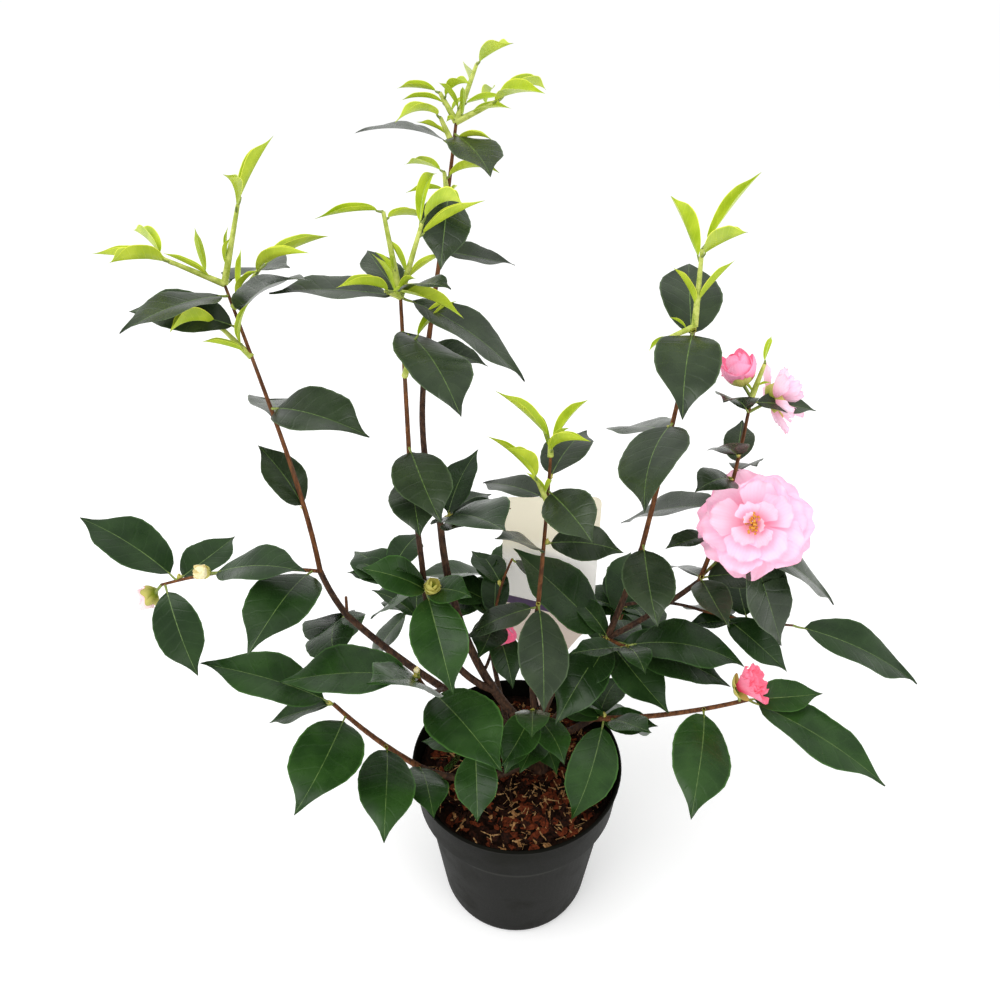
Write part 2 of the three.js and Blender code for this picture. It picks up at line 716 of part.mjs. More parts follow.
// The soil fills the pot to a level just under the rim.
function makeSoil() {
  const inner = POT_WALL + GAP;
  const collarRise = RIM_HEIGHT - RIM_BAND - COLLAR_BOTTOM;
  const collarSlope = (RIM_RADIUS - RIM_OUT - COLLAR_RADIUS) / collarRise;
  const profile = [
    [0, POT_FLOOR + GAP],
    [FOOT_RADIUS - inner - 1, POT_FLOOR + GAP],
    [BODY_FOOT_RADIUS - inner - 0.3, FOOT_HEIGHT],
    [BODY_TOP_RADIUS - inner - 0.3, COLLAR_BOTTOM - 1],
    [COLLAR_RADIUS - inner - 0.3, COLLAR_BOTTOM + 1.6],
    [COLLAR_RADIUS - inner - 0.3 + collarSlope * (SOIL_LEVEL - COLLAR_BOTTOM - 2), SOIL_LEVEL],
    [0, SOIL_LEVEL],
  ];
  return turned(profile);
}

// The card narrows into the stake, which ends on the soil.
function makeLabel() {
  const foot = SOIL_LEVEL + GAP;
  const half = LABEL_WIDTH / 2;
  const top = LABEL_TOP;
  const curve = LABEL_SHOULDER - SHOULDER_CURVE;
  const outline = new THREE.Shape();
  outline.moveTo(-STAKE_WIDTH / 4, foot);
  outline.lineTo(STAKE_WIDTH / 4, foot);
  outline.lineTo(STAKE_WIDTH / 2, foot + STAKE_POINT);
  outline.quadraticCurveTo(STAKE_WIDTH / 2, curve, half, LABEL_SHOULDER);
  outline.lineTo(half, top - LABEL_CORNER);
  outline.quadraticCurveTo(half, top, half - LABEL_CORNER, top);
  outline.lineTo(LABEL_CORNER - half, top);
  outline.quadraticCurveTo(-half, top, -half, top - LABEL_CORNER);
  outline.lineTo(-half, LABEL_SHOULDER);
  outline.quadraticCurveTo(-STAKE_WIDTH / 2, curve, -STAKE_WIDTH / 2, foot + STAKE_POINT);
  outline.closePath();
  const card = new THREE.ExtrudeGeometry(outline, {
    depth: LABEL_THICKNESS,
    bevelEnabled: false,
    curveSegments: 5,
  });
  card.translate(0, -foot, -LABEL_THICKNESS / 2);
  card.rotateX(Math.PI / 2 - radians(LABEL_LEAN));
  card.translate(LABEL_CENTRE_X, LABEL_FOOT_Y, foot);
  return solidOf(card);
}

// Points over the card, which leaves keep clear of.
function labelSamples() {
  const samples = [];
  for (let z = SOIL_LEVEL; z <= LABEL_TOP; z += 8) {
    const half = z > LABEL_SHOULDER - 20 ? LABEL_WIDTH / 2 : STAKE_WIDTH / 2;
    const y = LABEL_FOOT_Y + (z - SOIL_LEVEL) * Math.tan(radians(LABEL_LEAN));
    for (let x = -half; x <= half; x += half / 5)
      samples.push(new THREE.Vector3(LABEL_CENTRE_X + x, y, z));
  }
  return samples;
}

// What is left of a piece clear of earlier limbs, which are cut away a little fattened.
function cutClear(solid, earlier) {
  return earlier.reduce(
    (left, { grown }) => (left.intersect(grown).volume() > 0 ? left.subtract(grown) : left),
    solid,
  );
}

function addLimb(name, path, radiusAt, sides, radius, levelFoot) {
  const room = new THREE.Box3().setFromPoints(path).expandByScalar(radius + LIMB_ROOM);
  const whole = limbSolid(everySecond(path), radiusAt, sides, { levelFoot });
  const solid = biggest(cutClear(whole, [...limbs.values()]));
  const grown = limbSolid(everySecond(path), radiusAt, sides, { levelFoot, extra: CUT_GAP });
  limbs.set(name, { path, solid, grown, radius, room });
  return solid;
}

sub_parts.set("pot", { solid: makePot(), material: POT_PLASTIC });
sub_parts.set("soil", { solid: makeSoil(), material: SOIL });
sub_parts.set("care_label", { solid: makeLabel(), material: CARD });

const trunkPath = grow(new THREE.Vector3(...TRUNK_FOOT), TRUNK_GROWTH, STEPS);
const trunkTaper = taper(...TRUNK_DIAMETERS);
const trunkRadius = (t) => trunkTaper(t) + ROOT_FLARE * Math.exp((-t * TRUNK_GROWTH[2]) / FLARE_HEIGHT);
const trunk = addLimb("trunk", trunkPath, trunkRadius, 10, TRUNK_DIAMETERS[0] / 2, true);
sub_parts.set("trunk", { solid: trunk, material: BARK });

for (const [name, parent, at, ...values] of BOUGHS) {
  const [foot, tip] = values.splice(5);
  const path = grow(along(limbs.get(parent).path, at), values, STEPS);
  const bough = addLimb(name, path, taper(foot, tip), BOUGH_SIDES, foot / 2, false);
  sub_parts.set(name, { solid: bough, material: BARK });
}

// Every stem is grown before any leaf, so that leaves can keep clear of all of them.
const stems = new Map();
for (const [name, { stem }] of Object.entries(MASSES)) {
  const [bough, ...values] = stem;
  const [foot, tip] = values.splice(5);
  const path = grow(limbs.get(bough).path[STEPS], values, STEPS);
  const room = new THREE.Box3().setFromPoints(path).expandByScalar(foot / 2 + LIMB_ROOM);
  stems.set(name, { path, foot, tip, radius: foot / 2, room });
}

// A leaf grows where no limb, other stem, other mass, pot or label is in its way.
const taken = [{ mass: "", points: labelSamples() }];

function hasRoom(mass, samples) {
  const posts = [...limbs.values(), ...[...stems].filter(([name]) => name !== mass).map(([, s]) => s)];
  const room = new THREE.Box3().setFromPoints(samples).expandByScalar(LEAF_ROOM);
  for (const other of taken) {
    if (other.mass === mass) continue;
    const close = other.points.filter((point) => room.containsPoint(point));
    if (close.some((point) => samples.some((s) => s.distanceTo(point) < LEAF_ROOM))) return false;
  }
  return !samples.some((s) => touchesPot(s) || posts.some((post) => touchesLimb(s, post)));
}

function growLeaves(mass, stem, row, young) {
  return cluster(stem, row, young).filter((leaf) => {
    const samples = bladeSamples(leaf);
    const grows = hasRoom(mass, samples);
    if (grows) taken.push({ mass, points: samples });
    return grows;
  });
}

const grownStems = [];
for (const [name, { leaves = [], twigs = [], shoots = [], flowers = [] }] of Object.entries(MASSES)) {
  const stem = stems.get(name);
  const bare = everySecond(stem.path);
  const radiusAt = taper(stem.foot, stem.tip);
  let mass = limbSolid(bare, radiusAt, STEM_SIDES);
  for (const row of leaves)
    for (const leaf of growLeaves(name, stem.path, row, false)) mass = mass.add(leafSolid(leaf));
  for (const side of [...twigs, ...shoots]) {
    const [at, heading, rise, length, ...row] = side;
    const twig = grow(along(stem.path, at), [heading, rise, length, 0, 0], SHOOT_STEPS);
    mass = mass.add(limbSolid([twig[0], twig[SHOOT_STEPS]], taper(...SHOOT_DIAMETERS), 4));
    const young = shoots.includes(side);
    for (const leaf of growLeaves(name, twig, [1, ...row], young)) mass = mass.add(leafSolid(leaf));
  }
  for (const [at, heading, rise, length, kind, diameter, ...facing] of flowers) {
    const from = along(stem.path, at);
    const to = from.clone().addScaledVector(direction(heading, rise), length);
    const aim = direction(...facing);
    const inside = to.clone().addScaledVector(aim, 2);
    mass = mass.add(limbSolid([from, inside], () => STALK_RADIUS, 4));
    const flower = kind === "bud" ? budSolid(to, aim, diameter) : flowerSolid(to, aim, diameter, kind);
    mass = mass.add(flower);
  }
  const solid = biggest(cutClear(mass, [...limbs.values(), ...grownStems]));
  sub_parts.set(`${name}_foliage`, { solid, material: FOLIAGE });
  grownStems.push({ grown: limbSolid(bare, radiusAt, STEM_SIDES, { extra: CUT_GAP }) });
}

// ---------------------------------------------------------------- scene graph

// A joined or cut solid as a three.js geometry.
function geometryOf(solid) {
  const { numProp, vertProperties, triVerts, numVert } = solid.getMesh();
  const corners = new Float32Array(numVert * 3);
  for (let i = 0; i < numVert; i++)
    corners.set(vertProperties.subarray(i * numProp, i * numProp + 3), i * 3);
  const geometry = new THREE.BufferGeometry();
  geometry.setAttribute("position", new THREE.BufferAttribute(corners, 3));
  geometry.setIndex(new THREE.BufferAttribute(triVerts, 1));
  geometry.computeVertexNormals();
  return geometry;
}

const shrub = new THREE.Group();
for (const [name, { solid, material }] of sub_parts) {
  const mesh = new THREE.Mesh(geometryOf(solid), material);
  mesh.name = name;
  shrub.add(mesh);
}

export default shrub;
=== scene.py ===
# %% [markdown]
# # A camellia in its nursery pot
#
# The real thing is a young camellia, about 60 cm tall, in a thin plastic pot. Woody boughs rise from
# one short trunk, and each ends in a spray of leathery leaves. The tallest stems end in shoots with soft
# new leaves, and there are a few pink flowers and buds.
#
# The solids of the same plant are already packed as a fixed frame. This lesson dresses that frame: the
# plant is grown again by the same rule, but with a real blade for each leaf, relief on the bark and a
# finish on every surface. It keeps to the box of the solids, within a few millimetres.

# %% Load the frame
import math

import bmesh
import bpy
import numpy as np
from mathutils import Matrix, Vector


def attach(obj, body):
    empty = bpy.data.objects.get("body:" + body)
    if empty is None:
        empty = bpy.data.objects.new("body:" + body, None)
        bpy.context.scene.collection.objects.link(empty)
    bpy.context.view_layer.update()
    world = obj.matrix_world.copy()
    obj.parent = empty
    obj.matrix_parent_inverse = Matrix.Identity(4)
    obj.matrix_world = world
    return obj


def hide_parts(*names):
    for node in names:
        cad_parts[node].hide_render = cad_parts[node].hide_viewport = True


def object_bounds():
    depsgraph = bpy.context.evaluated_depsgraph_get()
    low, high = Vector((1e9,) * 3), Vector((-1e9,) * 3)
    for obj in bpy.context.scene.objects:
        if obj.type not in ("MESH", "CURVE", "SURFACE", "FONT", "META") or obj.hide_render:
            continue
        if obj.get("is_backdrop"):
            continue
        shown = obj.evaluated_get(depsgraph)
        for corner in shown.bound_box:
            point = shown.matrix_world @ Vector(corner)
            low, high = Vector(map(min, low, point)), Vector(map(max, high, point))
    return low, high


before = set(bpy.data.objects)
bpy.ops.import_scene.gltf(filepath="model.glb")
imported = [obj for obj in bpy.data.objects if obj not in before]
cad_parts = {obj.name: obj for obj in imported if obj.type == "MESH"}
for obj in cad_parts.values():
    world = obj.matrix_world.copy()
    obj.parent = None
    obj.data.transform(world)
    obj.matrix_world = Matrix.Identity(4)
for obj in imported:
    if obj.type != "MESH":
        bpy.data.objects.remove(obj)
cad_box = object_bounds()
MM = 0.001
print("solids:", len(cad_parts), "box:", [[round(x, 3) for x in corner] for corner in cad_box])

# %% [markdown]
# ## The camera first
#
# The plant is seen from close by and from just above its top, so its upper shoots look larger than its
# pot. A camera placed first means that every later piece is judged from where it will be seen.

# %% Camera
CAMERA_PLACE = (-15.2, -473, 775)
CAMERA_DOWN = 34.1
SENSOR = 36
LENS = 28.8
camera = bpy.data.objects.new("camera", bpy.data.cameras.new("camera"))
camera.location = [MM * c for c in CAMERA_PLACE]
camera.rotation_euler = (math.radians(90 - CAMERA_DOWN), 0, 0)
camera.data.sensor_width = SENSOR
camera.data.lens = LENS
camera.data.clip_start = 0.02
camera.data.clip_end = 200
bpy.context.scene.collection.objects.link(camera)
bpy.context.scene.camera = camera
print("camera at", CAMERA_PLACE, "looking down", CAMERA_DOWN, "degrees")

# %% [markdown]
# ## How the plant is written down
#
# A shrub could be sculpted or its leaves scattered at random, but then it would not match its own
# solids. It is written instead as short rows of growth. A bough has a heading, a rise, a length, and
# how far the two turn on the way. A mass of foliage has one stem and rows of leaves that stand round
# it. All lengths are millimetres and all angles degrees, as they are in the part's source.

# %% Trunk and boughs
# Each bough: name, limb that it leaves and how far along, heading, rise, length, turn, lift,
# and the diameters of its foot and tip.
SOIL_LEVEL = 154
GAP = 0.3
TRUNK_FOOT = (21, 6, SOIL_LEVEL + GAP)
TRUNK_GROWTH = (-115, 84, 50, 0, 0)
TRUNK_DIAMETERS = (16, 12)
ROOT_FLARE = 5
FLARE_HEIGHT = 7
STEPS = 10
SHOOT_STEPS = 4
BOUGHS = [
    ("right_bough", "trunk", 1, 37, 88, 115, -18, -68, 9, 7),
    ("right_tall_bough", "right_bough", 1, 30, 68, 90, 3, 8, 5.6, 4.8),
    ("flower_bough", "right_bough", 1, 5, 32, 93, 5, 10, 5.2, 4.4),
    ("right_side_bough", "right_tall_bough", 0.38, 13, 6, 70, -26, -21, 3, 2.6),
    ("right_low_bough", "trunk", 0.6, -4, 36, 60, 4, 6, 7.5, 5.6),
    ("left_bough", "trunk", 0.75, 168, 24, 210, 6, 27, 8, 5.6),
    ("left_tall_bough", "left_bough", 1, 161, 55, 46, -9, 17, 5.4, 5),
    ("left_low_bough", "trunk", 0.35, 224, -5, 115, -65, 18, 7.5, 6),
    ("left_short_bough", "left_bough", 0.48, -98, 32, 30, -13, 14, 4.6, 4.4),
    ("back_bough", "trunk", 0.85, 168, 42, 226, -60, 38, 8.5, 5.8),
    ("back_tall_bough", "back_bough", 1, 141, 69, 142, -86, 3, 5.4, 4.4),
    ("centre_left_bough", "back_bough", 0.27, 198, 37, 125, -79, 44, 6.4, 5.4),
    ("centre_left_tall_bough", "centre_left_bough", 1, 112, 83, 94, 4, -7, 5, 4.2),
    ("centre_bough", "trunk", 1, 137, 74, 129, -94, 11, 6, 4.4),
    ("inner_bough", "back_bough", 0.36, 45, 45, 43, 48, 17, 3, 2.8),
    ("front_left_bough", "trunk", 0.7, 200, 22, 52, 10, 6, 4.4, 3.6),
    ("rear_right_bough", "trunk", 0.8, 50, 12, 105, 0, 6, 5.5, 4.2),
    ("rear_left_bough", "left_bough", 0.42, 105, 8, 85, 20, 6, 5, 4),
    ("rear_centre_bough", "left_bough", 0.15, 105, 22, 100, -5, 4, 5, 4),
]
print("trunk foot at", TRUNK_FOOT, "and", len(BOUGHS), "boughs")

# %% Masses of foliage
# Each has a stem: the bough whose tip it grows from, heading, rise, length, turn, lift, diameters.
# leaves are clusters: place along the stem, leaves, facing, droop, leaf length, seed.
# twigs and shoots are straight: place, heading, rise, length, then a cluster at the tip.
# flowers: place, heading, rise and length of the stalk, kind, diameter, facing.
MASSES = {
    "left_tall": {
        "stem": ("left_tall_bough", 163, 88, 237, -31, -23, 4.6, 2.2),
        "leaves": [
            (0.25, 1, 155, 50, 60, 9),
            (0.65, 2, 305, -45, 80, 13),
            (0.9, 2, 170, 0, 70, 66),
            (1, 2, 250, -5, 70, 46),
        ],
        "shoots": [
            (1, 30, 70, 54, 2, 240, 20, 45, 37),
            (1, 195, 30, 42, 3, 150, 0, 55, 5),
            (0.93, 10, 50, 34, 2, 280, 0, 55, 42),
            (0.78, 165, 45, 29, 2, 160, -20, 55, 24),
        ],
    },
    "left_side": {
        "stem": ("left_tall_bough", -175, 12, 125, 8, -22, 3.4, 2.4),
        "leaves": [
            (0.05, 1, 280, 10, 95, 9),
            (0.68, 1, 350, 10, 80, 12),
            (0.9, 1, 25, 10, 70, 5),
            (0.9, 1, 140, 50, 80, 7),
            (0.98, 1, 310, -60, 70, 2),
        ],
        "flowers": [
            (0.62, -149, 20, 10, "bud", 12.6, -150, 30),
            (1, 177, -49, 12, "bud", 12, 180, -30),
        ],
    },
    "left_fork": {
        "stem": ("left_bough", 100, 20, 18, 0, 0, 3, 2.4),
        "leaves": [(0.18, 2, 45, -75, 95, 24)],
    },
    "left_short": {
        "stem": ("left_short_bough", -115, 50, 44, 3, 22, 4, 3),
        "leaves": [
            (0, 1, 305, 5, 95, 7),
            (1, 1, 170, -5, 95, 7),
            (0.3, 1, 265, 45, 95, 3),
        ],
        "flowers": [(1, 180, 84, 5, "bud", 5, 150, 70)],
    },
    "left_low": {
        "stem": ("left_low_bough", 182, 44, 105, -9, 10, 5.4, 3.6),
        "leaves": [
            (0, 1, 325, -5, 70, 8),
            (0.38, 1, 315, -20, 90, 8),
            (0.85, 1, 295, -10, 95, 3),
            (1, 1, 180, 10, 95, 12),
            (1, 1, 160, -30, 60, 5),
        ],
    },
    "front_left": {
        "stem": ("front_left_bough", 212, 25, 25, 0, 0, 3.4, 2.6),
        "leaves": [(1, 3, 150, -45, 50, 41)],
    },
    "front": {
        "stem": ("trunk", -120, 72, 42, 0, 0, 4, 2.8),
        "leaves": [
            (0, 2, 240, -50, 50, 17),
            (1, 2, 125, -10, 50, 63),
            (1, 1, 270, -5, 60, 4),
            (1, 1, 240, -50, 50, 25),
            (0.2, 1, 290, 0, 50, 20),
        ],
    },
    "centre_left_low": {
        "stem": ("centre_left_bough", -70, 30, 14, 0, 0, 3, 2.6),
        "leaves": [
            (1, 3, 135, -45, 80, 49),
            (0.95, 3, 215, 35, 50, 17),
        ],
        "flowers": [(1, 0, 61, 4, "bud", 13, -60, 60)],
    },
    "centre_left": {
        "stem": ("centre_left_tall_bough", 94, 77, 142, -2, 1, 4, 2.6),
        "leaves": [
            (0.22, 1, 290, -33, 72, 25),
            (0.1, 2, 280, -45, 60, 41),
            (0.58, 1, 50, -30, 90, 5),
            (0.83, 1, 320, -40, 95, 8),
            (1, 1, 199, -14, 80, 25),
            (1, 1, 120, 10, 60, 20),
            (1, 1, 340, -50, 90, 12),
            (1, 1, 310, -20, 60, 4),
        ],
        "shoots": [
            (1, 145, 80, 58, 2, 60, -40, 45, 11),
            (1, 15, 70, 53, 3, 330, -10, 55, 34),
            (1, 210, 30, 13, 2, 260, -10, 55, 17),
            (0.6, 310, 65, 36, 1, 70, -20, 45, 7),
        ],
    },
    "back_middle": {
        "stem": ("back_bough", -60, 40, 18, 0, 0, 3, 2.4),
        "leaves": [
            (1, 1, 290, 35, 95, 7),
            (1, 2, 280, 10, 60, 58),
        ],
    },
    "back_tall": {
        "stem": ("back_tall_bough", 58, 72, 164, 15, -7, 4.2, 2.4),
        "leaves": [
            (0.03, 1, 320, -30, 50, 5),
            (0.45, 1, 340, -25, 60, 5),
            (0.7, 1, 290, -50, 70, 8),
            (0.95, 2, 150, -10, 70, 42),
        ],
        "shoots": [
            (1, 25, 65, 40, 2, 150, -40, 55, 35),
            (1, 180, 60, 22, 3, 200, -40, 35, 62),
            (1, 355, 25, 34, 3, 160, -10, 55, 16),
            (0.9, 190, 65, 21, 1, 290, -50, 55, 8),
            (0.68, 180, 85, 18, 2, 350, -60, 45, 43),
        ],
    },
    "centre": {
        "stem": ("centre_bough", 66, 80, 138, 4, 5, 4, 2.4),
        "leaves": [
            (0.05, 1, 295, -60, 80, 8),
            (0, 2, 85, -40, 60, 18),
            (0.45, 2, 225, 0, 60, 17),
            (0.85, 3, 140, -35, 60, 12),
        ],
        "shoots": [
            (1, 100, 75, 13, 3, 270, -10, 55, 42),
            (0.72, 220, 65, 27, 2, 100, 10, 55, 50),
        ],
    },
    "inner": {
        "stem": ("inner_bough", 45, 88, 66, 0, -35, 2.6, 2),
        "leaves": [
            (0.75, 2, 140, 5, 50, 11),
            (1, 1, 350, -60, 50, 20),
            (0.05, 1, 290, -60, 50, 12),
        ],
        "flowers": [(0.04, -50, -50, 7, "bud", 13, -60, 20)],
    },
    "right_fork": {
        "stem": ("right_bough", -60, 25, 32, 0, 0, 3.6, 2.6),
        "leaves": [
            (0, 1, 150, 20, 95, 1),
            (0, 1, 285, -25, 80, 5),
            (0.02, 1, 240, -40, 80, 8),
            (0.78, 1, 10, 5, 95, 9),
            (0.53, 2, 340, -15, 90, 18),
        ],
    },
    "right_tall": {
        "stem": ("right_tall_bough", 44, 78, 184, 4, 3, 4.4, 2.8),
        "leaves": [
            (0.03, 1, 268, -35, 70, 25),
            (0.6, 2, 130, -45, 90, 64),
            (0.98, 2, 85, -20, 80, 65),
        ],
        "shoots": [
            (1, 90, 80, 53, 3, 110, -20, 65, 1),
            (1, 200, -15, 21, 1, 260, 20, 25, 11),
        ],
    },
    "flower": {
        "stem": ("flower_bough", 27, 74, 164, 27, 16, 4, 2.4),
        "leaves": [
            (0, 3, 320, -35, 60, 13),
            (0.28, 1, 180, -10, 50, 5),
            (0.43, 1, 140, -35, 90, 7),
            (0.62, 2, 240, -20, 50, 19),
            (0.7, 2, 100, 5, 50, 16),
            (0.98, 2, 205, -15, 50, 13),
        ],
        "twigs": [
            (0.02, -14, 62, 58, 1, 292, -77, 92, 25),
            (0.02, -14, 62, 50, 1, 358, -58, 90, 12),
        ],
        "shoots": [(1, 40, 70, 26, 1, 100, -20, 25, 8)],
        "flowers": [
            (0.02, -14, 62, 69, "bloom", 86, -110, 34),
            (1, 177, 55, 13, "bud", 16, 160, 65),
            (0.93, 20, 20, 20, "opening", 44, 15, 15),
        ],
    },
    "right_side": {
        "stem": ("right_side_bough", -7, -13, 80, 8, 7, 2.4, 2),
        "leaves": [
            (0.23, 2, 140, -45, 60, 56),
            (1, 1, 335, -25, 95, 12),
            (0.93, 2, 75, 5, 50, 50),
        ],
    },
    "right_low": {
        "stem": ("right_low_bough", -22, 23, 135, 19, 1, 5.2, 3.4),
        "leaves": [
            (0.08, 2, 70, -35, 80, 59),
            (0.12, 1, 290, 30, 50, 25),
            (0.73, 1, 260, -25, 90, 8),
            (1, 1, 330, -35, 95, 6),
            (1, 1, 335, 10, 60, 5),
        ],
        "flowers": [(0.95, -159, 71, 18, "opening", 36, -12, 42)],
    },
    "rear_right": {
        "stem": ("rear_right_bough", 62, 14, 60, 0, 8, 4, 2.6),
        "leaves": [
            (0.3, 2, 255, -20, 70, 41),
            (0.65, 2, 315, -10, 75, 25),
            (1, 3, 160, -10, 70, 27),
            (1, 1, 90, 10, 60, 7),
        ],
    },
    "rear_left": {
        "stem": ("rear_left_bough", 125, 14, 60, 0, 8, 3.8, 2.6),
        "leaves": [
            (0.3, 2, 120, -20, 65, 44),
            (0.65, 2, 80, -10, 60, 37),
            (1, 3, 150, -20, 70, 19),
        ],
    },
    "rear_centre": {
        "stem": ("rear_centre_bough", 70, 18, 60, 0, 10, 3.8, 2.6),
        "leaves": [
            (0.35, 2, 20, -20, 70, 58),
            (0.7, 2, 60, -10, 70, 23),
            (1, 3, 60, -10, 80, 12),
        ],
    },
}
print(len(MASSES), "masses with", sum(len(mass["leaves"]) for mass in MASSES.values()), "rows of leaves")

# %% [markdown]
# ## The rule of growth
#
# Each path is a row of equal steps whose heading and rise change evenly, so a limb bends as one gentle
# curve. Leaves leave a camellia's twig one at a time, each turned 144 degrees from the last, so that
# every sixth stands over the first. Small seeded dice give each its own swing, droop, size and twist:
# the same seed always grows the same leaf, here and in the solids.

# %% Directions and paths
def direction(heading, rise):
    """The unit vector at a heading about +Z from +X and a rise above the level."""
    level = math.cos(math.radians(rise))
    turn = math.radians(heading)
    return np.array((level * math.cos(turn), level * math.sin(turn), math.sin(math.radians(rise))))


def unit(vector):
    return vector / np.linalg.norm(vector)


def grow(start, growth, steps):
    """A path of equal steps whose heading and rise change evenly."""
    heading, rise, length, turn, lift = growth
    path = [np.array(start, float)]
    for i in range(steps):
        f = (i + 0.5) / steps
        path.append(path[-1] + direction(heading + turn * f, rise + lift * f) * length / steps)
    return np.array(path)


def along(path, t):
    """The point at part t of a path."""
    place = min(max(t, 0), 1) * (len(path) - 1)
    i = min(int(place), len(path) - 2)
    return path[i] + (path[i + 1] - path[i]) * (place - i)


def path_length(path):
    return np.linalg.norm(path[1] - path[0]) * (len(path) - 1)


def dice(seed):
    """Even random numbers from 0 to 1, the same for the same seed on any machine."""
    modulus = 2147483647
    state = seed * 48271 % modulus
    while True:
        state = state * 16807 % modulus
        yield state / modulus


print("straight up is", direction(0, 90).round(3), "and the first of dice 1 is", round(next(dice(1)), 4))

# %% Leaves of one cluster
SPIN = 144
LEAF_GAP = 8
YOUNG_GAP = 5
FORWARD = 0.35
YOUNG_FORWARD = 0.8
PETIOLE = 0.09
SWING = 60
NOD = 50
TWIST = 50


def cluster(stem, row, young):
    """The blades of one cluster: where each starts, which way it points and faces, and its size."""
    at, count, facing, droop, size, seed = row
    roll = dice(seed)
    gap = (YOUNG_GAP if young else LEAF_GAP) / path_length(stem)
    blades = []
    for k in range(count):
        swing, tip, grown, broad, bend, twist = (next(roll) for _ in range(6))
        t = max(at - (count - 1 - k) * gap, 0.02)
        node = along(stem, t)
        axis = unit(along(stem, t + 0.05) - along(stem, t - 0.05))
        azimuth = facing + SPIN * k + SWING * (swing - 0.5)
        pitch = droop + NOD * (tip - 0.5)
        forward = unit(direction(azimuth, pitch) + axis * (YOUNG_FORWARD if young else FORWARD))
        heading = math.degrees(math.atan2(forward[1], forward[0]))
        level = direction(heading, math.degrees(math.asin(forward[2])) + 90)
        side = np.cross(forward, level)
        turn = math.radians(TWIST * (twist - 0.5))
        up = level * math.cos(turn) + side * math.sin(turn)
        length = size * (0.88 + 0.24 * grown)
        arc = math.radians(5 + 50 * bend)
        stalk = unit(forward * math.cos(arc / 2) + up * math.sin(arc / 2))
        width = (0.28 + 0.12 * broad if young else 0.52 + 0.16 * broad) * length
        base = node + stalk * PETIOLE * length
        blades.append({"node": node, "base": base, "forward": forward, "up": up,
                       "length": length, "width": width, "arc": arc, "look": swing})
    return blades


print("each leaf stands", SPIN, "degrees round from the last and", LEAF_GAP, "mm up the stem")

# %% Where a blade's points lie
FOLD = 18
ROUNDNESS = 0.62
TAPER = 1.15
WIDEST = ROUNDNESS / (ROUNDNESS + TAPER)


def outline(t):
    return t**ROUNDNESS * (1 - t) ** TAPER


def blade_points(blade):
    """Points spread over a blade, which stand for it where room is measured."""
    half = blade["arc"] / 2
    side = np.cross(blade["forward"], blade["up"])
    points = []
    for t in np.arange(0.2, 1.01, 0.1):
        t = min(t, 1)
        lean = half - blade["arc"] * t
        reach = blade["length"] / blade["arc"] * (math.sin(half) - math.sin(lean))
        height = blade["length"] / blade["arc"] * (math.cos(lean) - math.cos(half))
        normal = blade["up"] * math.cos(lean) - blade["forward"] * math.sin(lean)
        middle = blade["base"] + blade["forward"] * reach + blade["up"] * height
        for across in (-1, -0.5, 0, 0.5, 1):
            out = across * blade["width"] / 2 * outline(max(t, 0)) / outline(WIDEST)
            fold = math.radians(FOLD)
            points.append(middle + side * out * math.cos(fold) + normal * abs(out) * math.sin(fold))
    return np.array(points)


print("a blade is widest at", round(WIDEST, 2), "of its length")

# %% Limbs and stems
foot, tip = TRUNK_DIAMETERS
limbs = {"trunk": {"path": grow(TRUNK_FOOT, TRUNK_GROWTH, STEPS), "foot": foot, "tip": tip}}
for name, parent, at, *values in BOUGHS:
    path = grow(along(limbs[parent]["path"], at), values[:5], STEPS)
    limbs[name] = {"path": path, "foot": values[5], "tip": values[6]}

stems = {}
for name, mass in MASSES.items():
    bough, *values = mass["stem"]
    path = grow(limbs[bough]["path"][STEPS], values[:5], STEPS)
    stems[name] = {"path": path, "foot": values[5], "tip": values[6]}
print(len(limbs), "limbs and", len(stems), "stems")

# %% [markdown]
# ## Room for every leaf
#
# On a real shrub a leaf that would press against a branch bends away or is shed. Here a leaf grows
# only where it is clear of the limbs, of other masses, of the label and of the pot. The solids' leaves
# passed the same test. Two kinds of small leaf are added here, at the foot of each new shoot and deep
# in the crown, where a real shrub is never bare.

# %% Whether a leaf has room
LEAF_ROOM = 4
LIMB_ROOM = 1.5
POT_ROOM = 3
RIM_RADIUS = 95
RIM_HEIGHT = 172
COLLAR_RADIUS = 91
LABEL_WIDTH = 84
LABEL_TOP = 399
LABEL_SHOULDER = 258
LABEL_CENTRE_X = 29
LABEL_FOOT_Y = 76
LABEL_LEAN = 2.5
STAKE_WIDTH = 20
STAKE_TOP = LABEL_SHOULDER - 20


def label_points():
    """Points over the care label, which leaves keep clear of."""
    points = []
    for z in range(SOIL_LEVEL, LABEL_TOP + 1, 8):
        half = (LABEL_WIDTH if z > STAKE_TOP else STAKE_WIDTH) / 2
        y = LABEL_FOOT_Y + (z - SOIL_LEVEL) * math.tan(math.radians(LABEL_LEAN))
        points += [(LABEL_CENTRE_X + half * step / 5, y, z) for step in range(-5, 6)]
    return np.array(points, float)


def near_limb(points, limb):
    """Whether any of the points is in a limb's bark or just off it."""
    starts, ends = limb["path"][:-1], limb["path"][1:]
    runs = ends - starts
    offsets = points[:, None] - starts
    part = np.clip((offsets * runs).sum(2) / (runs * runs).sum(1), 0, 1)
    apart = np.linalg.norm(offsets - part[..., None] * runs, axis=2)
    return apart.min() < limb["foot"] / 2 + LIMB_ROOM


def in_pot(points):
    """Whether any of the points would reach the soil, the pot's rim or the ground."""
    out = np.hypot(points[:, 0], points[:, 1])
    floor = np.where(out < COLLAR_RADIUS - POT_ROOM, SOIL_LEVEL,
                     np.where(out < RIM_RADIUS + POT_ROOM, RIM_HEIGHT, 0))
    return bool((points[:, 2] < floor + POT_ROOM).any())


taken = [("", label_points())]


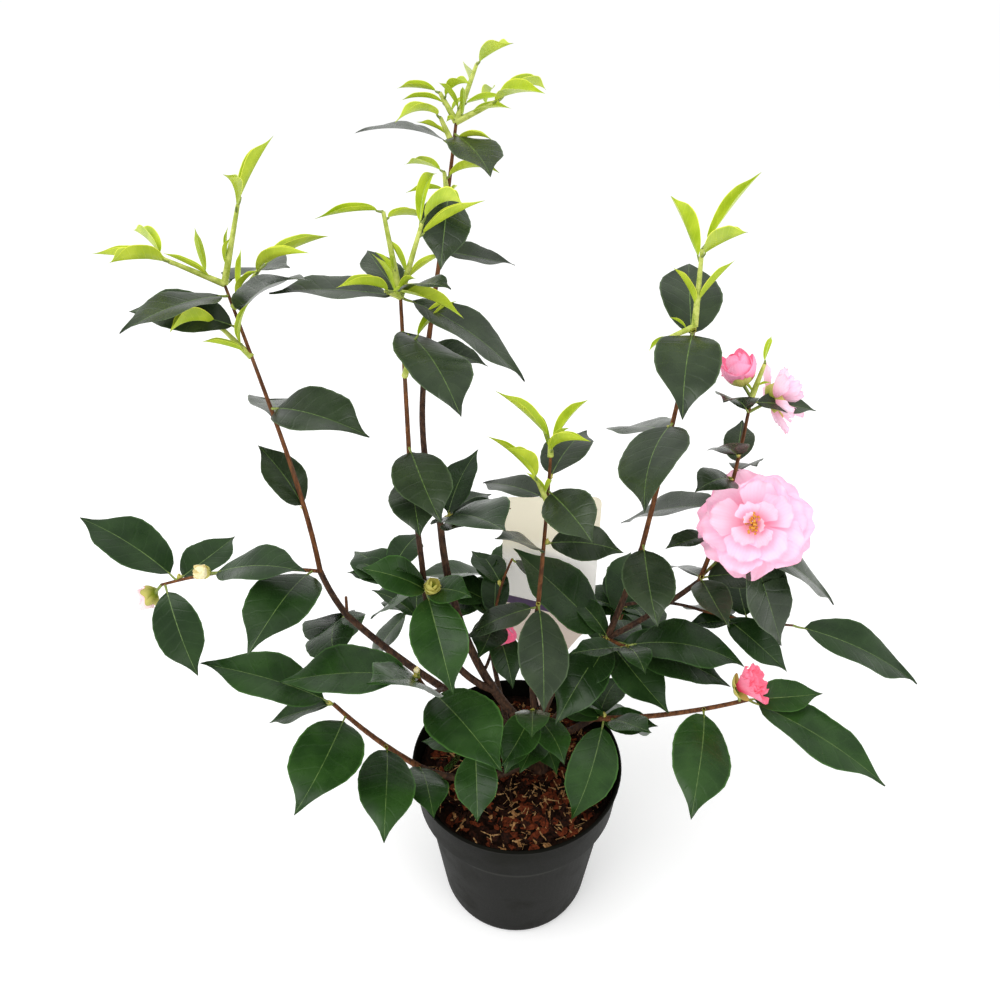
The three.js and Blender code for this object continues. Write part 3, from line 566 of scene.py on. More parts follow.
def has_room(mass, points):
    """Whether a leaf of this mass, given by its points, is clear of everything else."""
    for other, others in taken:
        if other != mass:
            apart = np.linalg.norm(points[:, None] - others, axis=2)
            if apart.min() < LEAF_ROOM:
                return False
    posts = [*limbs.values(), *(stem for name, stem in stems.items() if name != mass)]
    return not in_pot(points) and not any(near_limb(points, post) for post in posts)


print(len(taken[0][1]), "points keep the label clear")

# %% Grow the leaves
# The small leaves: their size, as a part of the shoot's own leaves or in millimetres, and for the
# inner ones the places along each stem, at each of which up to INNER_ROUND stand round it.
BRACT_SIZE = 0.55
BRACT_PLACE = 0.3
INNER_SIZE = 52
INNER_ROUND = 3
INNER = {"right_fork": (0.1, 0.9), "inner": (0.1, 0.6), "back_middle": (0.3, 1.0),
         "front": (0.3, 0.9), "rear_right": (0.1, 0.9), "rear_left": (0.1, 0.9),
         "rear_centre": (0.1, 0.9), "right_low": (0.04, 0.1), "right_side": (0.05, 0.5)}

mature, young, twigs = [], [], []
for name, mass in MASSES.items():
    stem = stems[name]["path"]
    sprays = [(stem, row, False) for row in mass["leaves"]]
    for kind in ("twigs", "shoots"):
        for at, heading, rise, length, *row in mass.get(kind, []):
            twig = grow(along(stem, at), (heading, rise, length, 0, 0), SHOOT_STEPS)
            twigs.append({"path": twig, "young": kind == "shoots"})
            sprays.append((twig, (1, *row), kind == "shoots"))
            if kind == "shoots":
                _, facing, droop, size, seed = row
                bracts = (BRACT_PLACE, 2, facing + 70, droop + 25, BRACT_SIZE * size, seed + 1)
                sprays.append((twig, bracts, True))
    roll = dice(5 + len(name))
    for at in INNER.get(name, ()):
        for turn in range(INNER_ROUND):
            facing, droop = 360 * next(roll), 20 - 50 * next(roll)
            sprays.append((stem, (at, 1, facing, droop, INNER_SIZE, 3 + turn), False))
    for path, row, soft in sprays:
        for blade in cluster(path, row, soft):
            points = blade_points(blade)
            if has_room(name, points):
                taken.append((name, points))
                blade["mass"] = name
                (young if soft else mature).append(blade)
print(len(mature), "mature leaves,", len(young), "young leaves,", len(twigs), "twigs")

# %% [markdown]
# ## Arithmetic on sockets
#
# Both shader trees and geometry trees are built here in code. A tree reads best as the formula that it
# stands for, so a small class wraps a socket and lets Python's own operators add the Math nodes. One
# method of the second class adds any other node: its settings first, then the values or links of its
# sockets.

# %% Wires and nets
class Wire:
    """A socket's value, which Python's operators work on by adding nodes."""

    def __init__(self, net, socket):
        self.net = net
        self.socket = socket

    def out(self, name):
        return Wire(self.net, self.socket.node.outputs[name])

    def is_vector(self):
        return self.socket.type in ("VECTOR", "RGBA")

    def work(self, operation, first, second):
        vectors = [not isinstance(v, (int, float)) and (isinstance(v, tuple) or v.is_vector())
                   for v in (first, second)]
        if not any(vectors):
            return self.net.add("ShaderNodeMath", first, second, operation=operation)
        if operation == "MULTIPLY" and not all(vectors):
            vector, scale = (first, second) if vectors[0] else (second, first)
            return self.net.add("ShaderNodeVectorMath", vector, operation="SCALE", Scale=scale)
        return self.net.add("ShaderNodeVectorMath", first, second, operation=operation)

    def __add__(self, other):
        return self.work("ADD", self, other)

    def __radd__(self, other):
        return self.work("ADD", other, self)

    def __sub__(self, other):
        return self.work("SUBTRACT", self, other)

    def __rsub__(self, other):
        return self.work("SUBTRACT", other, self)

    def __mul__(self, other):
        return self.work("MULTIPLY", self, other)

    def __rmul__(self, other):
        return self.work("MULTIPLY", other, self)

    def __truediv__(self, other):
        return self.work("DIVIDE", self, other)

    def __rtruediv__(self, other):
        return self.work("DIVIDE", other, self)

    def __pow__(self, other):
        return self.work("POWER", self, other)

    def function(self, operation):
        return self.net.add("ShaderNodeMath", self, operation=operation)

    def rise(self, start, end):
        """A smooth step from 0 at start to 1 at end."""
        return self.net.add("ShaderNodeMapRange", interpolation_type="SMOOTHSTEP",
                            Value=self, From_Min=start, From_Max=end)


class Net:
    """A node tree, and the one way that nodes are added to it."""

    def __init__(self, tree):
        self.tree = tree

    def put(self, socket, value):
        if isinstance(value, Wire):
            self.tree.links.new(value.socket, socket)
        else:
            socket.default_value = value

    def add(self, kind, *values, **named):
        """A new node. A name that is a property of the node is set first; the rest are sockets."""
        node = self.tree.nodes.new(kind)
        sockets = {}
        for name, value in named.items():
            if name in node.bl_rna.properties and name.islower():
                setattr(node, name, value)
            else:
                sockets[name.replace("_", " ")] = value
        for socket, value in zip(node.inputs, values):
            self.put(socket, value)
        for name, value in sockets.items():
            found = [s for s in node.inputs if s.name == name and s.enabled]
            self.put(found[0], value)
        shown = [s for s in node.outputs if s.enabled]
        return Wire(self, shown[0]) if shown else node

    def mix(self, first, second, share):
        """A colour between two colours."""
        node = self.tree.nodes.new("ShaderNodeMix")
        node.data_type = "RGBA"
        self.put(node.inputs["Factor"], share)
        self.put(node.inputs[6], first)
        self.put(node.inputs[7], second)
        return Wire(self, node.outputs[2])


print("wires ready")

# %% [markdown]
# ## Running a Geometry Nodes tree
#
# What repeats on this plant is made by Geometry Nodes: a tree takes a plain mesh of places, on which
# named attributes say how each copy differs, and gives the finished geometry. The result is kept as an
# ordinary mesh, because a live modifier would be worked out again at every frame and export. The
# attributes are dropped then, since nothing reads them any more.

# %% Places in, a plain mesh out
LEFT_OVER = {"forward", "up", "length", "width", "arc", "fold", "look", "across", "part", "thick"}


def places(name, points, edges=(), **attributes):
    """A mesh of points, in metres, that carry named attributes."""
    mesh = bpy.data.meshes.new(name)
    mesh.from_pydata([tuple(MM * c for c in p) for p in points], list(edges), [])
    for key, values in attributes.items():
        values = np.array(values, float)
        kind = "FLOAT_VECTOR" if values.ndim == 2 else "FLOAT"
        layer = mesh.attributes.new(key, kind, "POINT")
        layer.data.foreach_set("vector" if values.ndim == 2 else "value", values.ravel())
    return mesh


def new_tree(name, **inputs):
    """A geometry tree with named inputs, and the wires of those inputs."""
    tree = bpy.data.node_groups.new(name, "GeometryNodeTree")
    tree.is_modifier = True
    tree.interface.new_socket("Geometry", in_out="INPUT", socket_type="NodeSocketGeometry")
    tree.interface.new_socket("Geometry", in_out="OUTPUT", socket_type="NodeSocketGeometry")
    for key, value in inputs.items():
        kind = {float: "Float", int: "Int", type(None): "Material"}[type(value)]
        socket = tree.interface.new_socket(key, in_out="INPUT", socket_type="NodeSocket" + kind)
        if value is not None:
            socket.default_value = value
    net = Net(tree)
    entry = tree.nodes.new("NodeGroupInput")
    return net, {s.name: Wire(net, s) for s in entry.outputs if s.name}


def close_tree(net, geometry, material, smooth=True, part=None, part_material=None):
    """Ends a tree: instances made real, shaded smooth, and given their material, or two."""
    geometry = net.add("GeometryNodeRealizeInstances", geometry)
    if smooth:
        geometry = net.add("GeometryNodeSetShadeSmooth", geometry)
    geometry = net.add("GeometryNodeSetMaterial", geometry, Material=material)
    if part:
        geometry = net.add("GeometryNodeSetMaterial", geometry, Selection=part, Material=part_material)
    net.tree.links.new(geometry.socket, net.tree.nodes.new("NodeGroupOutput").inputs[0])
    return net.tree


def harvest(name, source, tree, **inputs):
    """Runs a tree on a mesh of places and keeps what it gives as a plain mesh."""
    piece = bpy.data.objects.new(name, source)
    bpy.context.scene.collection.objects.link(piece)
    modifier = piece.modifiers.new("growth", "NODES")
    modifier.node_group = tree
    for item in tree.interface.items_tree:
        if item.in_out == "INPUT" and item.name in inputs:
            modifier[item.identifier] = inputs[item.name]
    graph = bpy.context.evaluated_depsgraph_get()
    grown = bpy.data.meshes.new_from_object(
        piece.evaluated_get(graph), preserve_all_data_layers=True, depsgraph=graph)
    piece.modifiers.remove(modifier)
    piece.data = grown
    for key in [a.name for a in grown.attributes if a.name in LEFT_OVER]:
        grown.attributes.remove(grown.attributes[key])
    print(name, len(grown.polygons), "faces")
    return piece


def keep(piece, slot, *nodes):
    """Says what a finished piece rides on and what it stands for; its slot is not used."""
    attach(piece, "root")
    if nodes:
        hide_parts(*nodes)
    return piece


# %% [markdown]
# ## Finishes
#
# Every finish is a few layers of noise on the piece's own coordinates. A camellia leaf is leathery: a
# dark base, a soft gloss that breaks up in patches, and side veins that are pressed a little into the
# blade. The young leaves are thinner and duller, and the petals have hardly any gloss at all.

# %% A finish
class Finish(Net):
    """A material, with its place and pattern sources at hand."""

    def __init__(self, name):
        self.material = bpy.data.materials.new(name)
        self.material.use_nodes = True
        super().__init__(self.material.node_tree)
        self.surface = self.tree.nodes["Principled BSDF"]
        self.place = Wire(self, self.tree.nodes.new("ShaderNodeTexCoord").outputs["Object"])

    def noise(self, scale, detail=3.0, place=None, distortion=0.0):
        return self.add("ShaderNodeTexNoise", Vector=place or self.place, Scale=float(scale),
                        Detail=float(detail), Distortion=distortion)

    def uv(self, name):
        return self.add("ShaderNodeUVMap", uv_map=name)

    def bump(self, height, depth, strength=1.0):
        return self.add("ShaderNodeBump", Height=height, Distance=depth, Strength=strength)

    def shade(self, **values):
        for name, value in values.items():
            self.put(self.surface.inputs[name.replace("_", " ")], value)
        return self.material


def colour(red, green, blue):
    """A plain colour given as it looks on a screen, 0 to 255."""
    linear = [((c / 255 + 0.055) / 1.055) ** 2.4 if c > 10 else c / 255 / 12.92
              for c in (red, green, blue)]
    return (*linear, 1.0)


def lighter(shade, by):
    return (*(min(1, c * by) for c in shade[:3]), 1.0)


print("a mid grey of 128 is", round(colour(128, 128, 128)[0], 3), "to a shader")

# %% Leaves
VEINS = 8
VEIN_LEAN = 1.3


def leaf_finish(name, deep, pale, roughness, gloss, glow=0.0):
    """A blade: mottled colour, patchy gloss, side veins pressed in on both sides of the midrib, and a
    faint glow in its own tone, which is painted light through the blade.
    """
    leaf = Finish(name)
    uv = leaf.add("ShaderNodeSeparateXYZ", leaf.uv("blade"))
    across, part = uv.out("X"), uv.out("Y")
    side = (across - 0.5).function("ABSOLUTE") * 2
    wander = leaf.noise(120, 2) * 0.35
    vein = (part * VEINS - side * VEIN_LEAN + wander).function("FRACT")
    groove = (vein - 0.5).function("ABSOLUTE").rise(0.0, 0.12)
    mottle = leaf.noise(42, 5).rise(0.32, 0.72)
    film = leaf.noise(26, 3).rise(0.45, 0.75)
    edge = side.rise(0.93, 1.0)
    tone = leaf.mix(deep, pale, mottle * 0.45 + 0.2)
    tone = leaf.mix(tone, pale, (1 - groove) * 0.16)
    tone = leaf.mix(tone, lighter(pale, 1.9), edge * 0.75)
    return leaf.shade(
        Base_Color=tone,
        Roughness=roughness + (leaf.noise(160, 3) - 0.5) * 0.16 + film * 0.12,
        Specular_IOR_Level=gloss,
        Emission_Color=tone,
        Emission_Strength=glow,
        Normal=leaf.bump(groove * 0.3 + leaf.noise(900, 2) * 0.12 + leaf.noise(170, 3) * 0.5, 0.0006, 0.5),
    )


# The three tones by height are lit copies of one leaf colour: the upper leaves' greyer, paler green is
# painted sky reflection, and the lower leaves keep a richer green.
LEAF_DEEP = {"upper": colour(24, 38, 20), "middle": colour(18, 40, 13), "lower": colour(20, 47, 13)}
LEAF_PALE = {"upper": colour(60, 76, 48), "middle": colour(48, 74, 35), "lower": colour(54, 87, 36)}
LEAF_GLOSS = {"upper": 0.34, "middle": 0.22, "lower": 0.24}
leaf_finishes = {
    height: leaf_finish(height + "_leaf", LEAF_DEEP[height], LEAF_PALE[height], 0.27, LEAF_GLOSS[height])
    for height in LEAF_DEEP
}
# The young leaves' glow of 0.2 is painted light, standing in for light shining through the thin blade.
young_finish = leaf_finish("young_leaf", colour(130, 158, 14), colour(204, 216, 66), 0.4, 0.35, 0.2)


def plain_finish(name, deep, pale, scale, roughness, depth, gloss=0.5):
    """Two close tones in soft patches, with a fine relief of the same patches."""
    finish = Finish(name)
    patches = finish.noise(scale, 4)
    fine = finish.noise(scale * 6, 2)
    return finish.shade(
        Base_Color=finish.mix(deep, pale, patches.rise(0.3, 0.7)),
        Roughness=roughness + (fine - 0.5) * 0.2,
        Specular_IOR_Level=gloss,
        Normal=finish.bump(fine, depth, 0.6),
    )


midrib_finish = plain_finish("midrib", colour(64, 92, 34), colour(104, 130, 66), 300, 0.4, 0.0002)
young_midrib = plain_finish("young_midrib", colour(170, 200, 80), colour(205, 225, 120), 300, 0.5, 0.0002)
stalk_finish = plain_finish("stalk", colour(110, 128, 50), colour(146, 160, 74), 300, 0.5, 0.0003)
print("leaf finishes:", list(leaf_finishes))

# %% [markdown]
# ## One blade, two hundred times
#
# Every leaf is the same small grid: twenty stations from the stalk to the tip, and six columns across,
# of which the two in the middle bound the midrib. The tree bends the grid along an arc, folds it up
# from the midrib, pinches it to the leaf's outline and sets fine teeth on its margin. The sizes come
# from attributes of the place where each leaf stands, so no two leaves need to be alike.

# %% Bend a grid into a blade
STATIONS = 20
TEETH = STATIONS / 2
COLUMNS = 6


def field(net, name, kind="FLOAT"):
    return net.add("GeometryNodeInputNamedAttribute", name, data_type=kind)


def store(net, geometry, name, value, kind="FLOAT", domain="POINT"):
    return net.add("GeometryNodeStoreNamedAttribute", data_type=kind, domain=domain,
                   Geometry=geometry, Name=name, Value=value)


def grids_on_places(net, given, columns, rows):
    """A grid at each place, made real, which still knows how far across and along each corner is."""
    grid = net.add("GeometryNodeMeshGrid", Size_X=2.0, Size_Y=1.0, Vertices_X=columns, Vertices_Y=rows)
    corner = net.add("ShaderNodeSeparateXYZ", net.add("GeometryNodeInputPosition"))
    across, part = corner.out("X"), corner.out("Y") + 0.5
    flat = net.add("ShaderNodeCombineXYZ", across * 0.5 + 0.5, part, 0.0)
    grid = store(net, grid, "across", across)
    grid = store(net, grid, "part", part)
    grid = store(net, grid, "blade", flat, "FLOAT2", "CORNER")
    copies = net.add("GeometryNodeInstanceOnPoints", Points=given["Geometry"], Instance=grid)
    return net.add("GeometryNodeRealizeInstances", copies)


def lay(net, geometry, part, sideways, lift):
    """Moves the corners of each grid to their place on its own arc."""
    arc, length = field(net, "arc"), field(net, "length")
    forward, up = (field(net, key, "FLOAT_VECTOR") for key in ("forward", "up"))
    half = arc * 0.5
    lean = half - arc * part
    size = length / arc
    reach = size * (half.function("SINE") - lean.function("SINE"))
    height = size * (lean.function("COSINE") - half.function("COSINE"))
    normal = up * lean.function("COSINE") - forward * lean.function("SINE")
    side = net.add("ShaderNodeVectorMath", forward, up, operation="CROSS_PRODUCT")
    base = field(net, "base", "FLOAT_VECTOR")
    point = base + forward * reach + up * height + side * sideways + normal * lift
    return net.add("GeometryNodeSetPosition", Geometry=geometry, Position=point)


print("a blade is a grid of", COLUMNS, "by", STATIONS + 1, "corners")

# %% The leaf's tree
def leaf_tree():
    """A blade that swells to its middle, narrows to a drip tip, and twists and hooks on the way."""
    net, given = new_tree("leaf_blade", Tooth=0.03, Ripple=0.016, Curl=0.18, Rib=0.0005, Twist=0.9,
                          Hook=0.16, Blade=None, Midrib=None)
    geometry = grids_on_places(net, given, COLUMNS, STATIONS + 1)
    across, part, look = field(net, "across"), field(net, "part"), field(net, "look")
    length, width, fold = field(net, "length"), field(net, "width"), field(net, "fold")
    share = (across.function("ABSOLUTE") - 0.2) / 0.8
    swell = ((part**0.85) * math.pi).function("SINE") ** 0.75
    half_width = width * 0.5 * swell * (1 - part.rise(0.64, 0.97) * 0.62)
    rib = net.add("ShaderNodeMath", given["Rib"] * (1 - part * 0.75), half_width, operation="MINIMUM")
    tooth = (part * TEETH + 0.01).function("FRACT") * share.rise(0.8, 1.0) * given["Tooth"]
    out = rib + (half_width - rib) * share * (1 + tooth)
    wave = (part * 12.5 + look * 40).function("SINE") * share * share * given["Ripple"] * length
    lift = out * fold.function("SINE") - half_width * share * share * given["Curl"] + wave
    sideways = out * across.function("SIGN") * fold.function("COSINE")
    twist = (look - 0.5) * given["Twist"] * part
    turn, level = twist.function("SINE"), twist.function("COSINE")
    hook = ((look * 7).function("FRACT") - 0.5) * given["Hook"] * length * part**3
    geometry = lay(net, geometry, part, sideways * level - lift * turn + hook,
                   lift * level + sideways * turn)
    geometry = net.add("GeometryNodeMergeByDistance", Geometry=geometry, Distance=0.00002)
    middle = net.add("FunctionNodeCompare", across.function("ABSOLUTE"), 0.15, operation="LESS_THAN")
    return close_tree(net, geometry, given["Blade"], True, middle, given["Midrib"])


def blade_places(name, blades):
    """The places of some blades, in metres, with everything that the tree asks for."""
    def column(key, scale=1.0):
        return [blade[key] * scale for blade in blades]
    return places(name, column("base"), base=column("base", MM), forward=column("forward"),
                  up=column("up"), length=column("length", MM), width=column("width", MM),
                  arc=column("arc"), fold=column("fold"), look=column("look"))


the_leaf = leaf_tree()
print("the leaf's tree has", len(the_leaf.nodes), "nodes")

# %% Mature leaves, in three tones by height, the upper ones painted greyer as sky reflection
UPPER = ("left_tall", "centre_left", "back_tall", "right_tall", "flower", "centre")
MIDDLE = ("left_side", "left_fork", "back_middle", "right_fork", "inner", "right_side",
          "rear_right", "rear_left", "rear_centre")
for blade in mature:
    blade["fold"] = math.radians(12 + 12 * blade["look"])
    mass = blade["mass"]
    blade["tint"] = "upper" if mass in UPPER else "middle" if mass in MIDDLE else "lower"

for tint, finish in leaf_finishes.items():
    blades = [blade for blade in mature if blade["tint"] == tint]
    leaves = harvest(tint + "_leaves", blade_places(tint, blades), the_leaf,
                     Blade=finish, Midrib=midrib_finish)
    keep(leaves, "foliage", *sorted({blade["mass"] + "_foliage" for blade in blades}))

# %% Young leaves, half rolled
YOUNG_NARROWER = 0.8  # than the solids' young leaves, which can't be rolled
for blade in young:
    blade["fold"] = math.radians(42 + 34 * blade["look"])
    blade["width"] *= YOUNG_NARROWER
leaves = harvest("young_leaves", blade_places("young", young), the_leaf,
                 Blade=young_finish, Midrib=young_midrib, Tooth=0.02, Ripple=0.006,
                 Rib=0.0006, Curl=-0.2, Twist=1.6)
keep(leaves, "young_leaf")

# %% [markdown]
# ## Wood
#
# The trunk and boughs are tubes along the same paths as the solids, thick at the foot and thin at the
# tip. A path could be skinned by hand, ring by ring. Curve to Mesh does it from a circle and the
# path's own radius, and a noise pushed along the surface's normals gives the bark its relief.

# %% Tubes along paths
def limb_tree():
    """A closed tube along each path, with lumps pushed out by noise."""
    net, given = new_tree("limb", Sides=12, Relief=0.05, Grain=300.0, Bark=None)
    curve = net.add("GeometryNodeMeshToCurve", given["Geometry"])
    curve = net.add("GeometryNodeCurveSplineType", curve, spline_type="CATMULL_ROM")
    curve = net.add("GeometryNodeSetSplineResolution", curve, Resolution=4)
    curve = net.add("GeometryNodeSetCurveRadius", curve, Radius=field(net, "thick"))
    circle = net.add("GeometryNodeCurvePrimitiveCircle", Resolution=given["Sides"], Radius=1.0)
    tube = net.add("GeometryNodeCurveToMesh", Curve=curve, Profile_Curve=circle, Fill_Caps=True,
                   Scale=field(net, "thick"))
    lump = net.add("ShaderNodeTexNoise", Scale=given["Grain"], Detail=3.0) - 0.5
    push = net.add("GeometryNodeInputNormal") * (lump * given["Relief"] * 2 * field(net, "thick"))
    tube = net.add("GeometryNodeSetPosition", Geometry=tube, Offset=push)
    return close_tree(net, tube, given["Bark"])


the_limb = limb_tree()


def tubes(name, runs, material, sides=8, relief=0.05, grain=300.0):
    """Tubes along several paths. Each run is its points and its radii, in millimetres."""
    points, edges, thick = [], [], []
    for path, radii in runs:
        first = len(points)
        points += list(path)
        thick += [MM * r for r in radii]
        edges += [(i, i + 1) for i in range(first, len(points) - 1)]
    source = places(name, points, edges, thick=thick)
    return harvest(name, source, the_limb, Bark=material, Sides=sides, Relief=relief, Grain=grain)


def tapered(limb):
    """The radius at each point of a limb."""
    parts = np.linspace(0, 1, len(limb["path"]))
    return (limb["foot"] + (limb["tip"] - limb["foot"]) * parts) / 2


print("the trunk's radii:", tapered(limbs["trunk"]).round(1))

# %% Bark
def bark_finish(name, deep, pale, ridge):
    """Thin bark: long fissures along the limb, pale scars and grey bloom over a warm brown."""
    bark = Finish(name)
    stretched = bark.add("ShaderNodeMapping", Vector=bark.place, Scale=(1.0, 1.0, 0.25))
    fissure = bark.noise(420, 5, stretched, 0.6)
    patch = bark.noise(60, 3)
    tone = bark.mix(deep, pale, fissure.rise(0.3, 0.8))
    tone = bark.mix(tone, colour(112, 98, 78), patch.rise(0.55, 0.8) * 0.3)
    return bark.shade(
        Base_Color=tone,
        Roughness=0.62 + (fissure - 0.5) * 0.3,
        Specular_IOR_Level=0.2,
        Normal=bark.bump(fissure, ridge, 0.8),
    )


old_bark = bark_finish("old_bark", colour(46, 30, 22), colour(98, 68, 48), 0.0010)
young_bark = bark_finish("young_bark", colour(74, 42, 22), colour(136, 86, 48), 0.0006)
green_stem = plain_finish("green_stem", colour(156, 172, 56), colour(204, 212, 108), 200, 0.5, 0.0003)
print("barks:", old_bark.name, young_bark.name, green_stem.name)

# %% Trunk and boughs
trunk = limbs["trunk"]
flare = ROOT_FLARE * np.exp(-np.linspace(0, 1, STEPS + 1) * TRUNK_GROWTH[2] / FLARE_HEIGHT)
runs = [(trunk["path"], tapered(trunk) + flare)]
runs += [(limb["path"], tapered(limb)) for name, limb in limbs.items() if name != "trunk"]
wood = tubes("trunk_and_boughs", runs, old_bark, sides=20, relief=0.09, grain=220.0)
keep(wood, "bark", *limbs)

# %% Stems, twigs and leaf stalks
runs = [(stem["path"], tapered(stem)) for stem in stems.values()]
runs += [(twig["path"], np.linspace(1.3, 1.0, SHOOT_STEPS + 1)) for twig in twigs if not twig["young"]]
keep(tubes("stems", runs, young_bark, sides=10, relief=0.12, grain=400.0), "bark")

runs = [(twig["path"], np.linspace(2.5, 1.4, SHOOT_STEPS + 1)) for twig in twigs if twig["young"]]
keep(tubes("young_shoots", runs, green_stem), "young_leaf")

runs = []
for blade in mature + young:
    ahead = blade["base"] + (blade["base"] - blade["node"]) * 0.35
    middle = (blade["node"] + blade["base"]) / 2 - blade["up"] * 0.05 * blade["length"] * PETIOLE
    runs.append(([blade["node"], middle, blade["base"], ahead], (1.1, 0.95, 0.8, 0.4)))
keep(tubes("leaf_stalks", runs, stalk_finish, sides=6, relief=0.03), "foliage")

# %% [markdown]
# ## Flowers
#
# An open camellia has rings of broad petals, each notched at its end, cupped, and a little rippled.
# Outer rings lie nearly flat and inner ones stand up round a tuft of stamens. A petal could be a
# sculpted mesh that is copied, but then all would be alike. It is the leaf's method again: a grid on
# an arc that bends towards the flower's axis, with its own outline.

# %% Petals
def petal_tree():
    """A petal: a narrow foot, a broad rounded end with a notch, cupped across and rippled."""
    net, given = new_tree("petal", Notch=0.1, Round=0.36, Foot=0.3, Ripple=0.035, Petal=None)
    geometry = grids_on_places(net, given, 13, 13)
    across, part, look = field(net, "across"), field(net, "part"), field(net, "look")
    length, width, cup = field(net, "length"), field(net, "width"), field(net, "fold")
    edge = across.function("ABSOLUTE")
    dent = (across * across * -18.0).function("EXPONENT") * given["Notch"] * part**4
    shortened = part * (1 - edge**2.4 * part * part * given["Round"] - dent)
    swell = given["Foot"] + (1 - given["Foot"]) * part.rise(-0.1, 0.8)
    half_width = width * 0.5 * swell * (1 - part.rise(0.75, 1.1) * 0.2)
    wave = (across * 9 + look * 30).function("SINE") * part**3 * given["Ripple"] * length
    lift = half_width * cup * across * across + wave
    geometry = lay(net, geometry, shortened, half_width * across, lift)
    return close_tree(net, geometry, given["Petal"])


the_petal = petal_tree()


def petal_finish(name, deep, pale, throat):
    """A petal: deeper where it is rooted, paler to its edge, with the faintest lines along it and a faint
    glow of painted light.
    """
    petal = Finish(name)
    uv = petal.add("ShaderNodeSeparateXYZ", petal.uv("blade"))
    across, part = uv.out("X"), uv.out("Y")
    line = (across * 70 + petal.noise(60, 2) * 6).function("SINE")
    tone = petal.mix(deep, pale, part.rise(0.15, 0.7))
    tone = petal.mix(throat, tone, part.rise(0.0, 0.35))
    tone = petal.mix(tone, deep, (line * 0.5 + 0.5) * 0.05 + part.rise(0.9, 1.0) * 0.3)
    # The glow in the petal's own tone is painted light, standing in for light shining through the thin
    # petal.
    return petal.shade(
        Base_Color=tone,
        Roughness=0.58 + (petal.noise(300, 2) - 0.5) * 0.12,
        Specular_IOR_Level=0.25,
        Emission_Color=tone,
        Emission_Strength=0.2,
        Normal=petal.bump(line * 0.15 + petal.noise(260, 3), 0.0004, 0.5),
    )


petal_finishes = {
    "bloom": petal_finish("bloom_petal", colour(240, 158, 184), colour(251, 210, 230),
                          colour(238, 160, 176)),
    "opening": petal_finish("opening_petal", colour(226, 82, 116), colour(244, 134, 160),
                            colour(212, 56, 92)),
    "bud": petal_finish("bud_petal", colour(226, 96, 136), colour(244, 156, 188),
                        colour(222, 96, 130)),
    "blush": petal_finish("blush_petal", colour(240, 172, 194), colour(248, 224, 224),
                          colour(214, 206, 140)),
    "cream": petal_finish("cream_petal", colour(214, 200, 140), colour(238, 228, 186),
                          colour(180, 178, 96)),
    "sepal": petal_finish("sepal", colour(128, 136, 30), colour(188, 180, 96), colour(104, 120, 24)),
}
print("petal finishes:", list(petal_finishes))

# %% Rings of petals
# Each ring: petals, tilt from the flower's axis, length as a part of the radius, and width as a part
# of the length. Petals vary a little in turn, lean, slant and length.
BLOOM = ((7, 87, 1.0, 1.0), (6, 77, 0.93, 0.95), (5, 66, 0.78, 0.9), (4, 50, 0.55, 0.85),
         (2, 30, 0.32, 0.8))
SIDE_ON = ((6, 80, 1.3, 0.5), (6, 58, 1.2, 0.45), (5, 36, 1.0, 0.45))
OPENING = ((5, 40, 1.45, 0.8), (5, 29, 1.4, 0.75), (5, 17, 1.3, 0.7))
CLOSED = ((4, 22, 1.0, 1.05), (4, 15, 1.04, 0.9), (3, 8, 1.0, 0.7))
SEPALS = ((5, 58, 1.0, 0.9),)
CALYX = ((5, 45, 1.0, 1.0),)
SIDE_BUD = ((3, 12, 1.0, 0.6),)
PETAL_TURN = 0.45
PETAL_LEAN = 14
PETAL_SLANT = 0.3
PETAL_INSET = 0.05


def whorls(foot, aim, radius, rings, roll, cup, arc):
    """The petals of some rings on one foot, all cupped and bent by the same arc."""
    first = unit(np.cross(aim, (0.13, 0.21, 1)))
    second = np.cross(aim, first)
    petals = []
    for i, (count, tilt, long, wide) in enumerate(rings):
        for k in range(count):
            turn = 2 * math.pi * (k + 0.5 * i + PETAL_TURN * (next(roll) - 0.5)) / count
            radial = first * math.cos(turn) + second * math.sin(turn)
            lean = math.radians(tilt + PETAL_LEAN * (next(roll) - 0.5))
            forward = aim * math.cos(lean) + radial * math.sin(lean)
            up = aim * math.sin(lean) - radial * math.cos(lean)
            side = np.cross(forward, up)
            slant = PETAL_SLANT * (next(roll) - 0.3)
            up = unit(up + side * slant)
            length = radius * long * (0.94 + 0.1 * next(roll))
            petals.append({"base": foot + (aim * i + radial) * PETAL_INSET * radius,
                           "forward": forward, "up": up, "length": length,
                           "width": radius * long * wide, "arc": -math.radians(arc),
                           "fold": cup, "look": next(roll)})
    return petals


print("the open flower has", sum(count for count, *_ in BLOOM), "petals")

# %% Every flower and bud
# Petals go by tint. TINTS gives each mass's flowers theirs, SHAPES each tint's petal shape, and
# BUD_HEIGHT a bud's height as a part of its diameter.
SHAPES = {"bloom": {"Round": 0.24, "Notch": 0.06, "Ripple": 0.045},
          "opening": {"Ripple": 0.1, "Notch": 0.16},
          **dict.fromkeys(("bud", "blush", "cream"),
                          {"Round": 0.5, "Notch": 0.0, "Foot": 0.5, "Ripple": 0.01}),
          "sepal": {"Round": 0.5, "Notch": 0.0, "Ripple": 0.01}}
TINTS = {"left_side": ("cream", "blush"), "left_short": ("cream",), "centre_left_low": ("sepal",),
         "inner": ("bud",), "flower": ("bloom", "bud", "bloom"), "right_low": ("opening",)}
STAMENS = 46
BUD_HEIGHT = {"cream": 1.05, "blush": 1.7, "bud": 1.6, "sepal": 1.1}
FLOWER_STALK = (1.3, 1.2, 1.4, 1.6)
FILAMENT = (0.3, 0.26, 0.22)
SIDE_BUD_SIZE = 6.5
SIDE_BUD_EVERY = 3  # mature leaves, at whose foot one sits
petals = {tint: [] for tint in petal_finishes}
stalks, filaments, anthers = [], [], []
